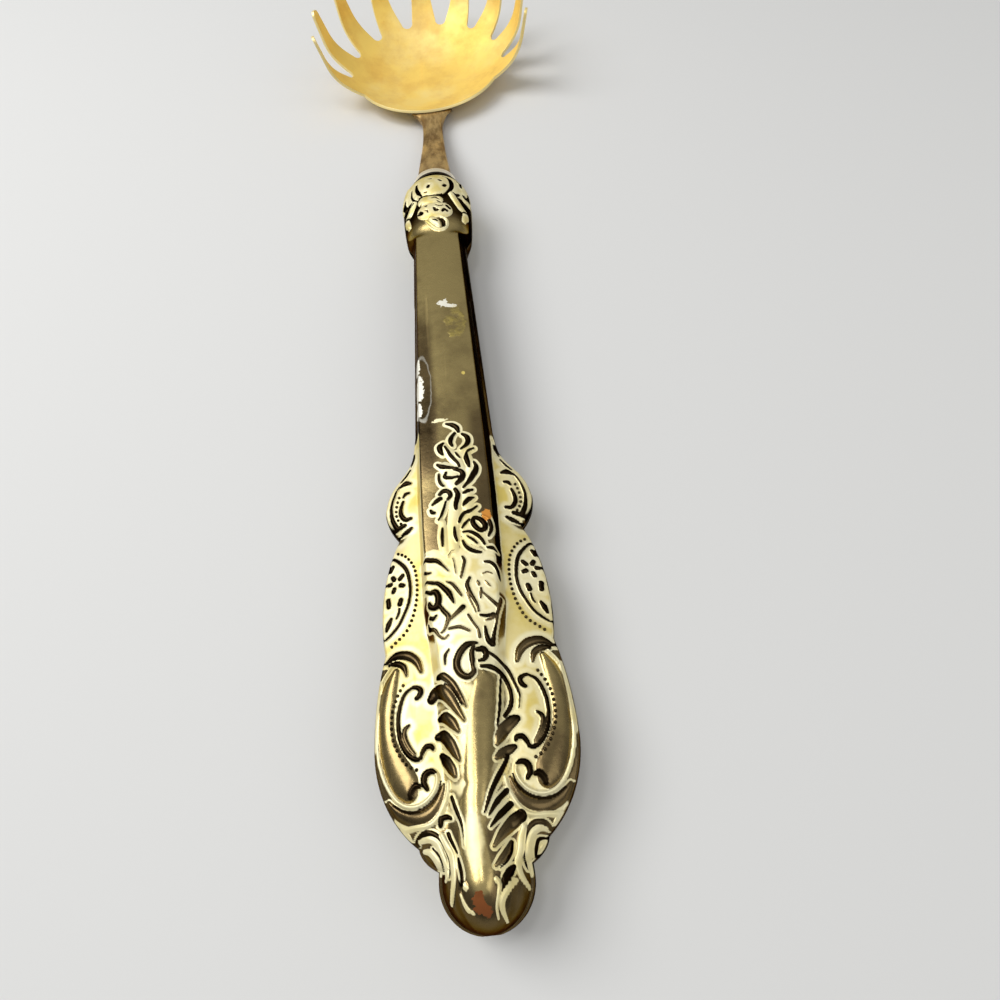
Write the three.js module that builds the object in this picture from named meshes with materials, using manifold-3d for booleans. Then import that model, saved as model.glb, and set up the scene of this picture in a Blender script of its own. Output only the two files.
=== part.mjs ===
// Pasta server: a pressed bowl with nine tines on a forged shank, in a hollow stamped handle.
// Millimetres. +Y runs from the handle's end to the tines, +X to the right, +Z up. The origin is on
// the table, under the middle of the server's box. The bowl's flat and the handle's back rest on the table.
import * as THREE from "three";
import { mergeVertices } from "three/addons/utils/BufferGeometryUtils.js";
import Module from "manifold-3d";

// Bowl: a sheet dished about its own upright axis, with tines cut in its front and sides
const SHEET = 1.2; // thickness of the sheet
const DISH_FLAT = 6; // radius of the flat that it rests on
const DISH_RADIUS = 28.2; // inside radius of the dish's curve
const DISH_SLOPE = 44.5; // degrees, where the dish turns into the tines' bend
const BEND_RADIUS = 11; // inside radius of that bend
const TINE_SLOPE = 78; // degrees, of a tine's straight end
const TINE_STRAIGHT = 7.6; // length of that straight end
const TINE_PITCH = 26; // degrees between tines
const TINES_PER_SIDE = 4; // on each side of the middle one
const TINE_TIP = 3.4; // width of a tine where its round tip begins
const SLOT_START = 22.7; // from the dish's axis to a slot's round bottom
const SLOT_ROUND = 1.75; // radius of that bottom
const RIM_RADIUS = 21.6; // of the plain rim behind the tines

// Shank: a pad under the bowl, the neck that shows and a tang in the handle
const NECK_LENGTH = 38.4; // from the mouth collar to the bowl's rim
const NECK_ROOT = [7.8, 4.4]; // width and thickness at the mouth
const NECK_END = [5.2, 3.4]; // the same, where it is slimmest
const NECK_FLARE = [8.2, 2.8]; // the same, at the bowl's rim
const FLARE_LENGTH = 3.5; // from the slimmest place to the rim
const PAD = [12, 1.2]; // width and thickness of the pad's far end
const PAD_REACH = 5; // how far the pad goes in under the rim
const TANG = [5, 3]; // width and thickness of the tang
const TANG_LENGTH = 58; // inside the handle

// Handle: two alike stampings, front and back, soldered at the side seam
const WALL = 0.9; // thickness of the stamping
const SEAM = 0.2; // solder between the halves
const FIT = 0.3; // clearance between pieces that seat on each other
const ORNATE_LENGTH = 88; // from the end to where the plain shaft begins
const SHAFT_LENGTH = 53;
const COLLAR_LENGTH = 25;
const SHAFT_WIDE = 7.9; // half width at the ornate end
const SHAFT_NARROW = 6.3; // half width at the collar
const EDGE_ROUND = 0.6; // how far the stamping turns in along its side edge
const COLLAR_START = 4; // from the shaft's end to where the collar stands out in full
const COLLAR_STEP = 3; // length of its lower shoulder
const RING_LENGTH = 2.6; // of the mouth collar
const RING_ROUND = 0.5; // of its edges
const RING_INSET = 0.8; // how far it stands inside the handle's mouth

// Lobes of the ornate outline: where each is widest, from the handle's end, its half width there,
// and how far its round side runs on towards the end and towards the bowl
const OUTLINE = {
  tip: { at: 6.9, half: 7.2, toEnd: 7.2, toBowl: 12 },
  leaf: { at: 12.6, half: 10, toEnd: 5.4, toBowl: 7 },
  scroll: { at: 27, half: 16.7, toEnd: 18.5, toBowl: 33 },
  medallion: { at: 49, half: 15.1, toEnd: 25, toBowl: 25 },
  cartouche: { at: 71.5, half: 14.3, toEnd: 10.6, toBowl: 20 },
};
// The collar swells out of the shaft in the same way, in width and in height; placed from the shaft's end
const COLLAR = { at: 16, half: 9, rise: 8.2, toEnd: 15.5, toBowl: 13.2 };

// Half sections of one stamping, from the end to the collar: height of the middle ridge, its fall to
// the panel's edge, the panel's half width, the run of its side wall, the ground beside it, how far
// that ground bellies up and the height of the outer edge
const DOME = { top: 7.6, crown: 1.7, panel: 3.9, run: 0.9, ground: 4.6, belly: 0.4, edge: 1.6 };
const WAIST = { top: 8.1, crown: 1.7, panel: 3.6, run: 1.2, ground: 5.1, belly: 0.9, edge: 1.8 };
const LOBE = { top: 8.4, crown: 1.4, panel: 3.6, run: 1.6, ground: 5.2, belly: 1.2, edge: 2 };
const ARCH = { top: 8.2, crown: 1, panel: 5, run: 1.2, ground: 4.6, belly: 0.8, edge: 2 };
const SPRAY = { top: 8, crown: 0.6, panel: 6.2, run: 0.8, ground: 4, belly: 0.5, edge: 2 };
const WING = { top: 7.5, crown: 0.6, panel: 6.5, run: 0.8, ground: 3.4, belly: 0.4, edge: 1.9 };
const SHOULDER = { top: 7.2, crown: 0.6, panel: 6.2, run: 0.9, ground: 3.4, belly: 0, edge: 2.2 };
const SHAFT = { top: 6.5, crown: 0.6, panel: 5, run: 0.8, ground: 3.2, belly: 0, edge: 2.2 };
const WAIST_AT = 15;
const ARCH_AT = 42;

// Facets: spacing of the handle's sections, and faces round a full dish, a bend of the dish, a tine's
// tip, the mouth collar, its edge and the neck's bend
const STEP = { end: 1, ornate: 2, shaft: 8, collar: 1.5 };
const FACES = { dish: 60, bend: 4, tip: 6, ring: 24, ringEdge: 2, neck: 6, pad: 3 };
const PANEL_FACES = { near: 0.5, far: 0.85 }; // where a panel's face is folded, as shares of its half width

const handleLength = ORNATE_LENGTH + SHAFT_LENGTH + COLLAR_LENGTH;
const shaftEnd = ORNATE_LENGTH + SHAFT_LENGTH;
const neckStart = handleLength + RING_LENGTH + SEAM;
const dishCentre = neckStart + NECK_LENGTH + RIM_RADIUS;
const axisHeight = Math.max(LOBE.top, COLLAR.rise); // of the handle's seam above the table
const rad = THREE.MathUtils.degToRad;
const lerp = THREE.MathUtils.lerp;

const wasm = await Module();
wasm.setup();

// Geometry helpers

// A closed mesh with its shared vertices merged and its needle-thin faces dropped.
function welded(geometry) {
  const bare = new THREE.BufferGeometry();
  bare.setAttribute("position", geometry.getAttribute("position"));
  bare.setIndex(geometry.getIndex());
  const merged = mergeVertices(bare, 1e-4);
  const corners = merged.getIndex().array;
  const kept = [];
  for (let i = 0; i < corners.length; i += 3) {
    const [a, b, c] = corners.subarray(i, i + 3);
    if (a !== b && b !== c && c !== a) kept.push(a, b, c);
  }
  merged.setIndex(kept);
  return merged;
}

function toSolid(geometry) {
  const merged = welded(geometry);
  return new wasm.Manifold(
    new wasm.Mesh({
      numProp: 3,
      vertProperties: merged.getAttribute("position").array,
      triVerts: new Uint32Array(merged.getIndex().array),
    }),
  );
}

function toGeometry(solid) {
  const mesh = solid.getMesh();
  const geometry = new THREE.BufferGeometry();
  geometry.setAttribute("position", new THREE.BufferAttribute(mesh.vertProperties, 3));
  geometry.setIndex(new THREE.BufferAttribute(mesh.triVerts, 1));
  return geometry;
}

// A skin over rings of points that lie in planes across Y, closed by a flat cap at each end. Each of
// its quads is split along the shorter diagonal.
// Each ring runs clockwise as seen from the bowl, so that the faces point outwards.
function loft(rings) {
  const count = rings[0].length;
  const position = rings.flat().flatMap((p) => [p.x, p.y, p.z]);
  const index = [];
  for (let r = 0; r + 1 < rings.length; r++) {
    for (let i = 0; i < count; i++) {
      const next = (i + 1) % count;
      const a = r * count + i;
      const b = r * count + next;
      const [c, d] = [a + count, b + count];
      const rising = rings[r][i].distanceTo(rings[r + 1][next]);
      const falling = rings[r][next].distanceTo(rings[r + 1][i]);
      if (rising < falling) index.push(a, c, d, a, d, b);
      else index.push(a, c, b, b, c, d);
    }
  }
  const cap = (ring, start, flip) => {
    const flat = ring.map((p) => new THREE.Vector2(p.x, p.z));
    for (const [a, b, c] of THREE.ShapeUtils.triangulateShape(flat, [])) {
      const face = [start + a, start + b, start + c];
      const [u, v, w] = [flat[a], flat[b], flat[c]];
      const turn = (v.x - u.x) * (w.y - u.y) - (v.y - u.y) * (w.x - u.x);
      if (turn < 0 !== flip) face.reverse();
      index.push(...face);
    }
  };
  cap(rings[0], 0, false);
  cap(rings.at(-1), (rings.length - 1) * count, true);
  const geometry = new THREE.BufferGeometry();
  geometry.setAttribute("position", new THREE.Float32BufferAttribute(position, 3));
  geometry.setIndex(index);
  return welded(geometry);
}

// A bar's section with its corners taken off by a quarter of the thickness.
function barRing(y, z, [width, thickness]) {
  const x = width / 2;
  const h = thickness / 2;
  const cut = thickness / 4;
  const corner = [
    [x, h - cut],
    [x - cut, h],
    [cut - x, h],
    [-x, h - cut],
    [-x, cut - h],
    [cut - x, -h],
    [x - cut, -h],
    [x, cut - h],
  ];
  return corner.map(([px, pz]) => new THREE.Vector3(px, y, z + pz));
}

// Bowl

// Points of the dish's section, from its axis to a tine's end, at a depth under the inside face.
function meridian(depth) {
  const [low, high] = [rad(DISH_SLOPE), rad(TINE_SLOPE)];
  const dish = new THREE.Vector2(DISH_FLAT, DISH_RADIUS);
  const shift = DISH_RADIUS - BEND_RADIUS;
  const bend = dish.clone().add(new THREE.Vector2(Math.sin(low), -Math.cos(low)).multiplyScalar(shift));
  const on = (centre, radius, angle) =>
    new THREE.Vector2(centre.x + radius * Math.sin(angle), centre.y - radius * Math.cos(angle));
  const points = [new THREE.Vector2(0, -depth)];
  const steps = FACES.bend;
  for (let i = 0; i < steps; i++) points.push(on(dish, DISH_RADIUS + depth, (low * i) / steps));
  for (let i = 0; i <= steps; i++) {
    points.push(on(bend, BEND_RADIUS + depth, lerp(low, high, i / steps)));
  }
  const along = new THREE.Vector2(Math.cos(high), Math.sin(high)).multiplyScalar(TINE_STRAIGHT);
  points.push(points.at(-1).clone().add(along));
  return points;
}

const bowlReach = meridian(SHEET).at(-1).x;
const totalLength = dishCentre + bowlReach;

// The bowl's outline as seen from above, about the dish's axis, with +Y towards the middle tine.
function bowlOutline() {
  const place = (reach, angle, across) =>
    new THREE.Vector2(
      reach * Math.sin(angle) + across * Math.cos(angle),
      reach * Math.cos(angle) - across * Math.sin(angle),
    );
  const pitch = rad(TINE_PITCH);
  const half = TINE_TIP / 2;
  const tipDepth = half * Math.cos(rad(TINE_SLOPE)); // a round tip on the slope, seen from above
  const slotCentre = SLOT_START + SLOT_ROUND;
  const outline = new THREE.Shape();
  const first = -TINES_PER_SIDE * pitch;
  const rimAngle = first - pitch / 2;
  const start = place(RIM_RADIUS, rimAngle, 0);
  outline.moveTo(start.x, start.y);
  for (let n = -TINES_PER_SIDE; n <= TINES_PER_SIDE; n++) {
    const angle = n * pitch;
    const left = place(bowlReach - tipDepth, angle, -half);
    const tip = place(bowlReach - tipDepth, angle, 0);
    outline.lineTo(left.x, left.y);
    outline.absellipse(tip.x, tip.y, half, tipDepth, Math.PI, 0, true, -angle);
    if (n === TINES_PER_SIDE) break;
    const next = angle + pitch / 2;
    const from = place(slotCentre, next, -SLOT_ROUND);
    const bottom = place(slotCentre, next, 0);
    outline.lineTo(from.x, from.y);
    outline.absarc(bottom.x, bottom.y, SLOT_ROUND, Math.PI - next, 2 * Math.PI - next, false);
  }
  const back = Math.PI / 2 + rimAngle; // mirrored side, as an angle from +X
  const end = place(RIM_RADIUS, -rimAngle, 0);
  outline.lineTo(end.x, end.y);
  outline.absarc(0, 0, RIM_RADIUS, back, -Math.PI - back, true);
  return outline;
}

function bowlGeometry() {
  const profile = [...meridian(SHEET), ...meridian(0).reverse()];
  const dish = new THREE.LatheGeometry(profile, FACES.dish).rotateX(Math.PI / 2);
  const height = meridian(0).at(-1).y + 2 * SHEET;
  const blank = new THREE.ExtrudeGeometry(bowlOutline(), {
    depth: height + SHEET,
    bevelEnabled: false,
    curveSegments: FACES.tip,
  }).translate(0, 0, -2 * SHEET);
  return toGeometry(toSolid(dish).intersect(toSolid(blank)));
}

// Shank

// Height of the bowl's underside above the table, at a distance from the dish's axis.
function underside(reach) {
  const points = meridian(SHEET);
  const i = points.findIndex((p) => p.x > reach);
  const [a, b] = [points[i - 1], points[i]];
  return SHEET + lerp(a.y, b.y, (reach - a.x) / (b.x - a.x));
}

function shankGeometry() {
  const rim = dishCentre - RIM_RADIUS;
  const under = (reach, thickness) => underside(reach) - FIT - thickness / 2;
  const padAt = (share) => RIM_RADIUS - PAD_REACH * share;
  const between = (a, b, share) => [lerp(a[0], b[0], share), lerp(a[1], b[1], share)];
  const slimmest = rim - FLARE_LENGTH;
  const endHeight = under(RIM_RADIUS, NECK_FLARE[1]);
  const rings = [
    barRing(handleLength - TANG_LENGTH, axisHeight, TANG),
    barRing(handleLength - NECK_ROOT[0], axisHeight, TANG),
    barRing(handleLength - NECK_ROOT[1] / 2, axisHeight, NECK_ROOT),
    barRing(neckStart, axisHeight, NECK_ROOT),
  ];
  for (let i = 1; i <= FACES.neck; i++) {
    const share = i / FACES.neck;
    const fall = THREE.MathUtils.smoothstep(share, 0, 1);
    const size = between(NECK_ROOT, NECK_END, share);
    rings.push(barRing(lerp(neckStart, slimmest, share), lerp(axisHeight, endHeight, fall), size));
  }
  rings.push(barRing(rim, endHeight, NECK_FLARE));
  for (let i = 1; i <= FACES.pad; i++) {
    const share = i / FACES.pad;
    const size = between(NECK_FLARE, PAD, share);
    rings.push(barRing(dishCentre - padAt(share), under(padAt(share), size[1]), size));
  }
  return loft(rings);
}

// Handle

// How far a lobe's round side reaches at a place along the handle, as a share of its widest.
function roundSide(lobe, s) {
  const run = s < lobe.at ? lobe.toEnd : lobe.toBowl;
  return Math.sqrt(Math.max(0, 1 - ((s - lobe.at) / run) ** 2));
}

function shaftHalf(s) {
  return lerp(SHAFT_WIDE, SHAFT_NARROW, THREE.MathUtils.clamp((s - ORNATE_LENGTH) / SHAFT_LENGTH, 0, 1));
}

// Half width of the handle's outline, without the collar.
function outlineHalf(s) {
  const lobes = Object.values(OUTLINE).map((lobe) => lobe.half * roundSide(lobe, s));
  return Math.max(...lobes, s < OUTLINE.cartouche.at ? 0 : shaftHalf(s));
}

// The half section at a place along the handle, blended between the named ones.
function sectionAt(s) {
  const stations = [
    [OUTLINE.tip.at, DOME],
    [WAIST_AT, WAIST],
    [OUTLINE.scroll.at, LOBE],
    [ARCH_AT, ARCH],
    [OUTLINE.medallion.at, SPRAY],
    [OUTLINE.cartouche.at, WING],
    [ORNATE_LENGTH, SHOULDER],
    [shaftEnd, SHAFT],
  ];
  const last = stations.findIndex(([at]) => at > s);
  if (last === -1) return SHAFT;
  const [to, b] = stations[last];
  const [from, a] = stations[Math.max(0, last - 1)];
  const share = to === from ? 0 : (s - from) / (to - from);
  const round = s < OUTLINE.tip.at ? roundSide(OUTLINE.tip, s) : 1; // the end is domed
  const mixed = {};
  for (const key of Object.keys(a)) mixed[key] = round * lerp(a[key], b[key], share);
  return mixed;
}

// One quarter of the outer section, from the ridge to the seam, as x and height above the seam.
function quarter(s) {
  const half = outlineHalf(s);
  const { top, crown, panel, run, ground, belly, edge } = sectionAt(s);
  const flank = half - panel - run;
  const turn = Math.min(EDGE_ROUND, flank / 3);
  const out = (share) => [
    panel + run + (flank - turn) * share,
    lerp(ground, edge, share) + belly * Math.sin(Math.PI * share),
  ];
  const plain = [
    [0, top],
    [panel * PANEL_FACES.near, top - crown * PANEL_FACES.near ** 2],
    [panel * PANEL_FACES.far, top - crown * PANEL_FACES.far ** 2],
    [panel, top - crown],
    out(0),
    out(1 / 3),
    out(2 / 3),
    out(1),
    [half, edge / 2],
    [half, SEAM / 2],
  ];
  const bulge = { ...COLLAR, at: shaftEnd + COLLAR.at };
  const blend = THREE.MathUtils.smoothstep(s, shaftEnd + COLLAR_START - COLLAR_STEP, shaftEnd + COLLAR_START);
  const share = roundSide(bulge, s);
  const onShaft = s < bulge.at ? 1 : 0;
  const wide = lerp(onShaft * SHAFT_NARROW, bulge.half, share);
  const high = lerp(onShaft * SHAFT.top, bulge.rise, share);
  return plain.map(([x, z], i) => {
    const angle = (Math.PI / 2) * (i / (plain.length - 1));
    const height = Math.max(SEAM / 2, high * Math.cos(angle));
    return [lerp(x, wide * Math.sin(angle), blend), lerp(z, height, blend)];
  });
}

// The same quarter moved inwards by a depth, with only the corners that the inside needs.
function innerQuarter(s, depth, floor) {
  const outer = quarter(s);
  const half = outer.at(-1)[0];
  const shrink = (half - depth - Math.min(EDGE_ROUND, half / 8)) / half;
  return [0, 3, 4, 7].map((i) => [outer[i][0] * shrink, Math.max(floor, outer[i][1] - depth)]);
}

// Places of the sections: close together where the outline turns, wide apart on the plain shaft.
function sectionPlaces() {
  const places = [];
  const fill = (from, to, step) => {
    const count = Math.max(1, Math.round((to - from) / step));
    for (let i = 0; i < count; i++) places.push(lerp(from, to, i / count));
  };
  const shoulder = OUTLINE.cartouche.at + OUTLINE.cartouche.toBowl;
  fill(0, OUTLINE.leaf.at, STEP.end);
  fill(OUTLINE.leaf.at, shoulder, STEP.ornate);
  fill(shoulder, shaftEnd, STEP.shaft);
  fill(shaftEnd, handleLength, STEP.collar);
  places.push(handleLength);
  return places;
}

const mirrored = (points) => points.map(([x, z]) => [-x, z]);

// One stamping: each ring runs over the outside from seam to seam and back along the inside.
function shellGeometry() {
  const rings = sectionPlaces().map((s) => {
    const outer = quarter(s);
    const inner = innerQuarter(s, WALL, SEAM / 2);
    const foot = [inner.at(-1)[0], SEAM / 2];
    const inside = [...inner, foot];
    const ring = [
      ...[...outer].reverse(),
      ...mirrored(outer.slice(1)),
      ...mirrored([...inside].reverse()),
      ...inside.slice(1),
    ];
    return ring.map(([x, z]) => new THREE.Vector3(x, s, z));
  });
  return loft(rings);
}

// The filling follows the inside of both halves and is cast round the tang.
function coreGeometry() {
  const start = OUTLINE.tip.at;
  const end = handleLength - FIT;
  const places = [...sectionPlaces().filter((s) => s >= start && s < end), end];
  const rings = places.map((s) => {
    const top = innerQuarter(s, WALL + FIT, FIT);
    const low = [...top].reverse().map(([x, z]) => [x, -z]);
    const right = [...top, ...low];
    const ring = [...[...right.slice(1, -1)].reverse(), top[0], ...mirrored(right.slice(1, -1)), low.at(-1)];
    return ring.map(([x, z]) => new THREE.Vector3(x, s, z));
  });
  const grow = ([width, thickness]) => [width + 2 * FIT, thickness + 2 * FIT];
  const slot = loft([
    barRing(handleLength - TANG_LENGTH - FIT, 0, grow(TANG)),
    barRing(handleLength - NECK_ROOT[0], 0, grow(TANG)),
    barRing(handleLength - NECK_ROOT[1] / 2, 0, grow(NECK_ROOT)),
    barRing(handleLength + RING_LENGTH, 0, grow(NECK_ROOT)),
  ]);
  return toGeometry(toSolid(loft(rings)).subtract(toSolid(slot)));
}

// The mouth collar: a rounded ring with an opening for the neck.
function ringGeometry() {
  const mouth = quarter(handleLength);
  const width = mouth.at(-1)[0] - RING_INSET - RING_ROUND;
  const height = mouth[0][1] - RING_INSET - RING_ROUND;
  const shape = new THREE.Shape().absellipse(0, 0, width, height, 0, 2 * Math.PI, false);
  const clear = [NECK_ROOT[0] + 2 * (FIT + RING_ROUND), NECK_ROOT[1] + 2 * (FIT + RING_ROUND)];
  const opening = barRing(0, 0, clear).map((p) => new THREE.Vector2(p.x, p.z));
  shape.holes.push(new THREE.Path(opening));
  const options = { depth: RING_LENGTH - 2 * RING_ROUND, curveSegments: FACES.ring };
  const bevel = { bevelThickness: RING_ROUND, bevelSize: RING_ROUND, bevelSegments: FACES.ringEdge };
  const ring = new THREE.ExtrudeGeometry(shape, { ...options, ...bevel });
  return welded(ring.translate(0, 0, RING_ROUND).rotateX(-Math.PI / 2));
}

// Assembly

const GOLD_WASH = { color: 0xe9c46a, roughness: 0.32, metalness: 1 };
const WORN_BRASS = { color: 0xa8824a, roughness: 0.5, metalness: 1 };
const TARNISHED_PLATE = { color: 0x8f8250, roughness: 0.35, metalness: 1 };
const RESIN = { color: 0x6b5a45, roughness: 0.9, metalness: 0 };

function piece(name, geometry, finish) {
  const mesh = new THREE.Mesh(geometry, new THREE.MeshStandardMaterial(finish));
  mesh.name = name;
  return mesh;
}

const server = new THREE.Group();
const alongHandle = new THREE.Group(); // +Y counts from the handle's end
alongHandle.position.y = -totalLength / 2;
server.add(alongHandle);

const bowl = piece("bowl", bowlGeometry(), GOLD_WASH);
bowl.position.set(0, dishCentre, SHEET);
alongHandle.add(bowl, piece("shank", shankGeometry(), WORN_BRASS));

const handle = new THREE.Group(); // its seam lies in its own XY plane
handle.position.z = axisHeight;
alongHandle.add(handle);

const backShell = piece("back_shell", shellGeometry(), TARNISHED_PLATE);
backShell.rotation.y = Math.PI; // the same stamping, turned over
const mouthCollar = piece("mouth_collar", ringGeometry(), TARNISHED_PLATE);
mouthCollar.position.y = handleLength + SEAM;
handle.add(piece("front_shell", shellGeometry(), TARNISHED_PLATE), backShell, mouthCollar);
handle.add(piece("core_fill", coreGeometry(), RESIN));

export default server;
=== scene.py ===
"""Tarnished pasta server with a chased hollow handle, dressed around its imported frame.

The server's lengths are written in millimetres and scaled once, when a mesh is made. On the handle, s
counts from its end towards the bowl, x goes right and z up from the seam between the two stampings.
"""
import math

import bmesh
import bpy
import numpy as np
from mathutils import Matrix, Vector


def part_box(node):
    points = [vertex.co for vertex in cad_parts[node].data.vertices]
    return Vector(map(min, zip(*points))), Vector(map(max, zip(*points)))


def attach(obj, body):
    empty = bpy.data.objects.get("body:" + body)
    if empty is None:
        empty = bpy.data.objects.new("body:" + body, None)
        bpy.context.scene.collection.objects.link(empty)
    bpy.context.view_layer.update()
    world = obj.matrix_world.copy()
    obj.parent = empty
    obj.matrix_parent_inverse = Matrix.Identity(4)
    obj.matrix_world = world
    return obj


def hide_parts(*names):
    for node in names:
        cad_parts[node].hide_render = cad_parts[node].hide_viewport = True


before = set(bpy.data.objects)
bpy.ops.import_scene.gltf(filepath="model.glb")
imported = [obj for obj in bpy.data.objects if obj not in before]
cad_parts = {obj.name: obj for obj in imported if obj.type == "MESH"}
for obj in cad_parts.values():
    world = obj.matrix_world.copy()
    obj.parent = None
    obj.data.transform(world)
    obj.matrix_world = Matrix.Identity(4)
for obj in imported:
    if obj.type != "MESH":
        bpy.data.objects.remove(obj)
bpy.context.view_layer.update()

MM = 0.001
TINY = 1e-6
MERGE_GAP = 0.0001

# Places taken from the frame
shell_low, shell_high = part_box("front_shell")
back_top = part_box("back_shell")[1].z
HANDLE_END = shell_low.y / MM
HANDLE_LENGTH = (shell_high.y - shell_low.y) / MM
SEAM_HEIGHT = (shell_low.z + back_top) / 2 / MM

# Handle
SEAM = 0.2
WALL = 0.9
SHAFT_START = 88.0
SHAFT_END = 141.0
SHAFT_WIDE = 7.9
SHAFT_NARROW = 6.3
# Rounded side edge: its run and its foot's height, their largest shares of the form, and its least height
EDGE_RUN = 0.6
EDGE_SHARE = 0.3
EDGE_FOOT = 0.4
FOOT_SHARE = 0.4
EDGE_CLEAR = 0.05
# Hollow: how far it stays from the seam, its least share of the width and of the collar's roundness
HOLLOW_INSET = 1.6
HOLLOW_SHARE = 0.45
BELL_LEAST = 0.05
# Lobes of the outline: widest place, half width there, run towards the end and towards the bowl
LOBES = {
    "tip": (6.9, 7.2, 7.0, 12.0),
    "leaf": (12.6, 10.0, 5.4, 7.0),
    "scroll": (27.0, 16.7, 18.5, 33.0),
    "medallion": (49.0, 15.1, 25.0, 25.0),
    "cartouche": (71.5, 14.2, 10.6, 3.0),
}
# Half width of the cartouches' sloping shoulders along the handle
SHOULDER = [(71.5, 14.2), (74.0, 13.6), (76.0, 12.7), (78.0, 11.3), (80.0, 9.9), (82.0, 8.9),
            (84.5, 8.3), (SHAFT_START, SHAFT_WIDE)]
# Half sections under the ornament: place, ridge, its fall, panel half width, wall run, ground, belly, edge
SECTIONS = [
    (6.9, 7.5, 1.7, 3.9, 0.9, 4.6, 0.4, 1.6),
    (15.0, 7.5, 1.7, 3.6, 1.2, 4.9, 0.7, 1.8),
    (27.0, 7.7, 1.4, 3.6, 1.6, 4.9, 0.8, 2.0),
    (42.0, 7.6, 1.0, 5.0, 1.2, 4.3, 0.5, 2.0),
    (49.0, 7.5, 0.6, 6.2, 0.8, 3.9, 0.3, 2.0),
    (71.5, 7.1, 0.6, 6.5, 0.8, 3.3, 0.3, 1.9),
    (SHAFT_START, 7.2, 0.6, 6.2, 0.9, 3.4, 0.0, 2.2),
    (SHAFT_END, 6.5, 0.6, 5.0, 0.8, 3.2, 0.0, 2.2),
]
COLLAR_AT = 157.0
COLLAR_HALF = 8.5
COLLAR_RISE = 7.5
COLLAR_TO_SHAFT = 15.5
COLLAR_TO_BOWL = 13.2
COLLAR_BLEND = (142.0, 146.0)
COLLAR_TURN = math.radians(80)
COLLAR_FOOT = math.radians(88)

# Spacing of the chased surface
ROW_STEP = {"ornate": 0.21, "shaft": 1.6, "collar": 0.21}
TIP_ROWS = 26
FIRST_TURN = 0.08
FACE_COLUMNS = 150
EDGE_COLUMNS = 5
INNER_COLUMNS = 7
FOLD_PASSES = 3
# Where the ornament's height runs out: near the side edges, as a share of the face, and at the end
BORDER_FADE = (1.0, 0.985)
TIP_FADE = (0.3, 3.0)

# Filling
FILLING_ENDS = (3.0, 163.0)
FILLING_SLACK = 0.15
FILLING_SKIP = 4

# Bowl
SHEET = 0.7
DISH_FLAT = 6.0
DISH_RADIUS = 28.7
DISH_SLOPE = 44.5
BEND_RADIUS = 11.5
TINE_SLOPE = 78.0
TINE_STRAIGHT = 7.6
TINE_PITCH = 26.0
TINES_PER_SIDE = 4
TINE_TIP = 1.7
SLOT_START = 22.7
SLOT_ROUND = 1.75
RIM_RADIUS = 21.6
SHEET_EDGE = 0.2
EDGE_ANGLE = 50.0
# Rows and columns of the sheet's mesh, from its small hub to just short of the tines' tips
TINE_COLUMNS = 10
REAR_COLUMNS = 56
DISH_ROWS = 20
SLOT_ROWS = 6
TINE_ROWS = 18
HUB = 1.2
TIP_CUT = 0.02
REACH_STEPS = 4000
BOWL_MERGE_GAP = 0.004

# Shank
NECK_START = 168.8
NECK_LENGTH = 38.4
DISH_PLACE = NECK_START + NECK_LENGTH + RIM_RADIUS
NECK_ROOT = (9.1, 4.4)
NECK_END = (5.6, 3.4)
NECK_FLARE = (9.6, 1.5)
FLARE_LENGTH = 6.0
PAD = (12.0, 1.2)
PAD_REACH = 5.0
TANG = (5.0, 3.0)
TANG_LENGTH = 58.0
TANG_TAPER = 2.0
TANG_TIP = 0.8
PAD_GAP = 0.05
NECK_RINGS = 25
FLARE_RINGS = 14
PAD_RINGS = 8
# How the neck gets slimmer and flares again, and how square the bar's section is
NECK_CURVE = 1.6
FLARE_CURVE = 3
BAR_CORNERS = 28
BAR_SQUARE = 0.45

# Mouth collar
RING_START = 166.2
RING_LENGTH = 2.6
RING_SIZE = (5.6, 5.2)
RING_HOLE = (4.6, 2.5)
# Painted shadow at the ring's joint with the mouth: where the dark fades out along the handle
RING_JOINT_SHADOW = (166.9, 167.1)
RING_CROWN = 0.16
RING_SIDES = 72
RING_ROUNDS = 9


def smoothstep(low, high, value):
    """The value's rise from 0 at low to 1 at high, smooth at both ends."""
    t = np.clip((value - low) / (high - low), 0, 1)
    return t * t * (3 - 2 * t)


def linear(red, green, blue):
    """A colour as seen on a screen, from 0 to 255, as the shader's linear one."""
    parts = [c / 255 for c in (red, green, blue)]
    return tuple(c / 12.92 if c <= 0.04045 else ((c + 0.055) / 1.055) ** 2.4 for c in parts) + (1.0,)


# Node helpers

# Places of a Mix node's sockets for colours
MIX_A = 6
MIX_B = 7
MIX_OUT = 2
# A worn patch, as shares of its size: its fade from outside to inside, its edge and the band along it
PATCH_FADE = (1.0, 0.86)
PATCH_EDGE = 0.95
PATCH_BAND = (0.07, 0.02)
NOISE_MIDDLE = 0.5


def socket(tree, value, target):
    """Links a socket, or sets a plain value."""
    if isinstance(value, bpy.types.NodeSocket):
        tree.links.new(value, target)
    else:
        target.default_value = value


def maths(tree, operation, a, b=0.0):
    made = tree.nodes.new("ShaderNodeMath")
    made.operation = operation
    socket(tree, a, made.inputs[0])
    socket(tree, b, made.inputs[1])
    return made.outputs[0]


def scaled(tree, value, factor, base=None):
    """A value times a factor, on top of a base."""
    product = maths(tree, "MULTIPLY", value, factor)
    return product if base is None else maths(tree, "ADD", product, base)


def swing(tree, value, middle, amount):
    """How far a value is above or below its middle, times an amount."""
    return scaled(tree, maths(tree, "SUBTRACT", value, middle), amount)


def colour_mix(tree, share, a, b):
    made = tree.nodes.new("ShaderNodeMix")
    made.data_type = "RGBA"
    socket(tree, share, made.inputs[0])
    socket(tree, a, made.inputs[MIX_A])
    socket(tree, b, made.inputs[MIX_B])
    return made.outputs[MIX_OUT]


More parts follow.
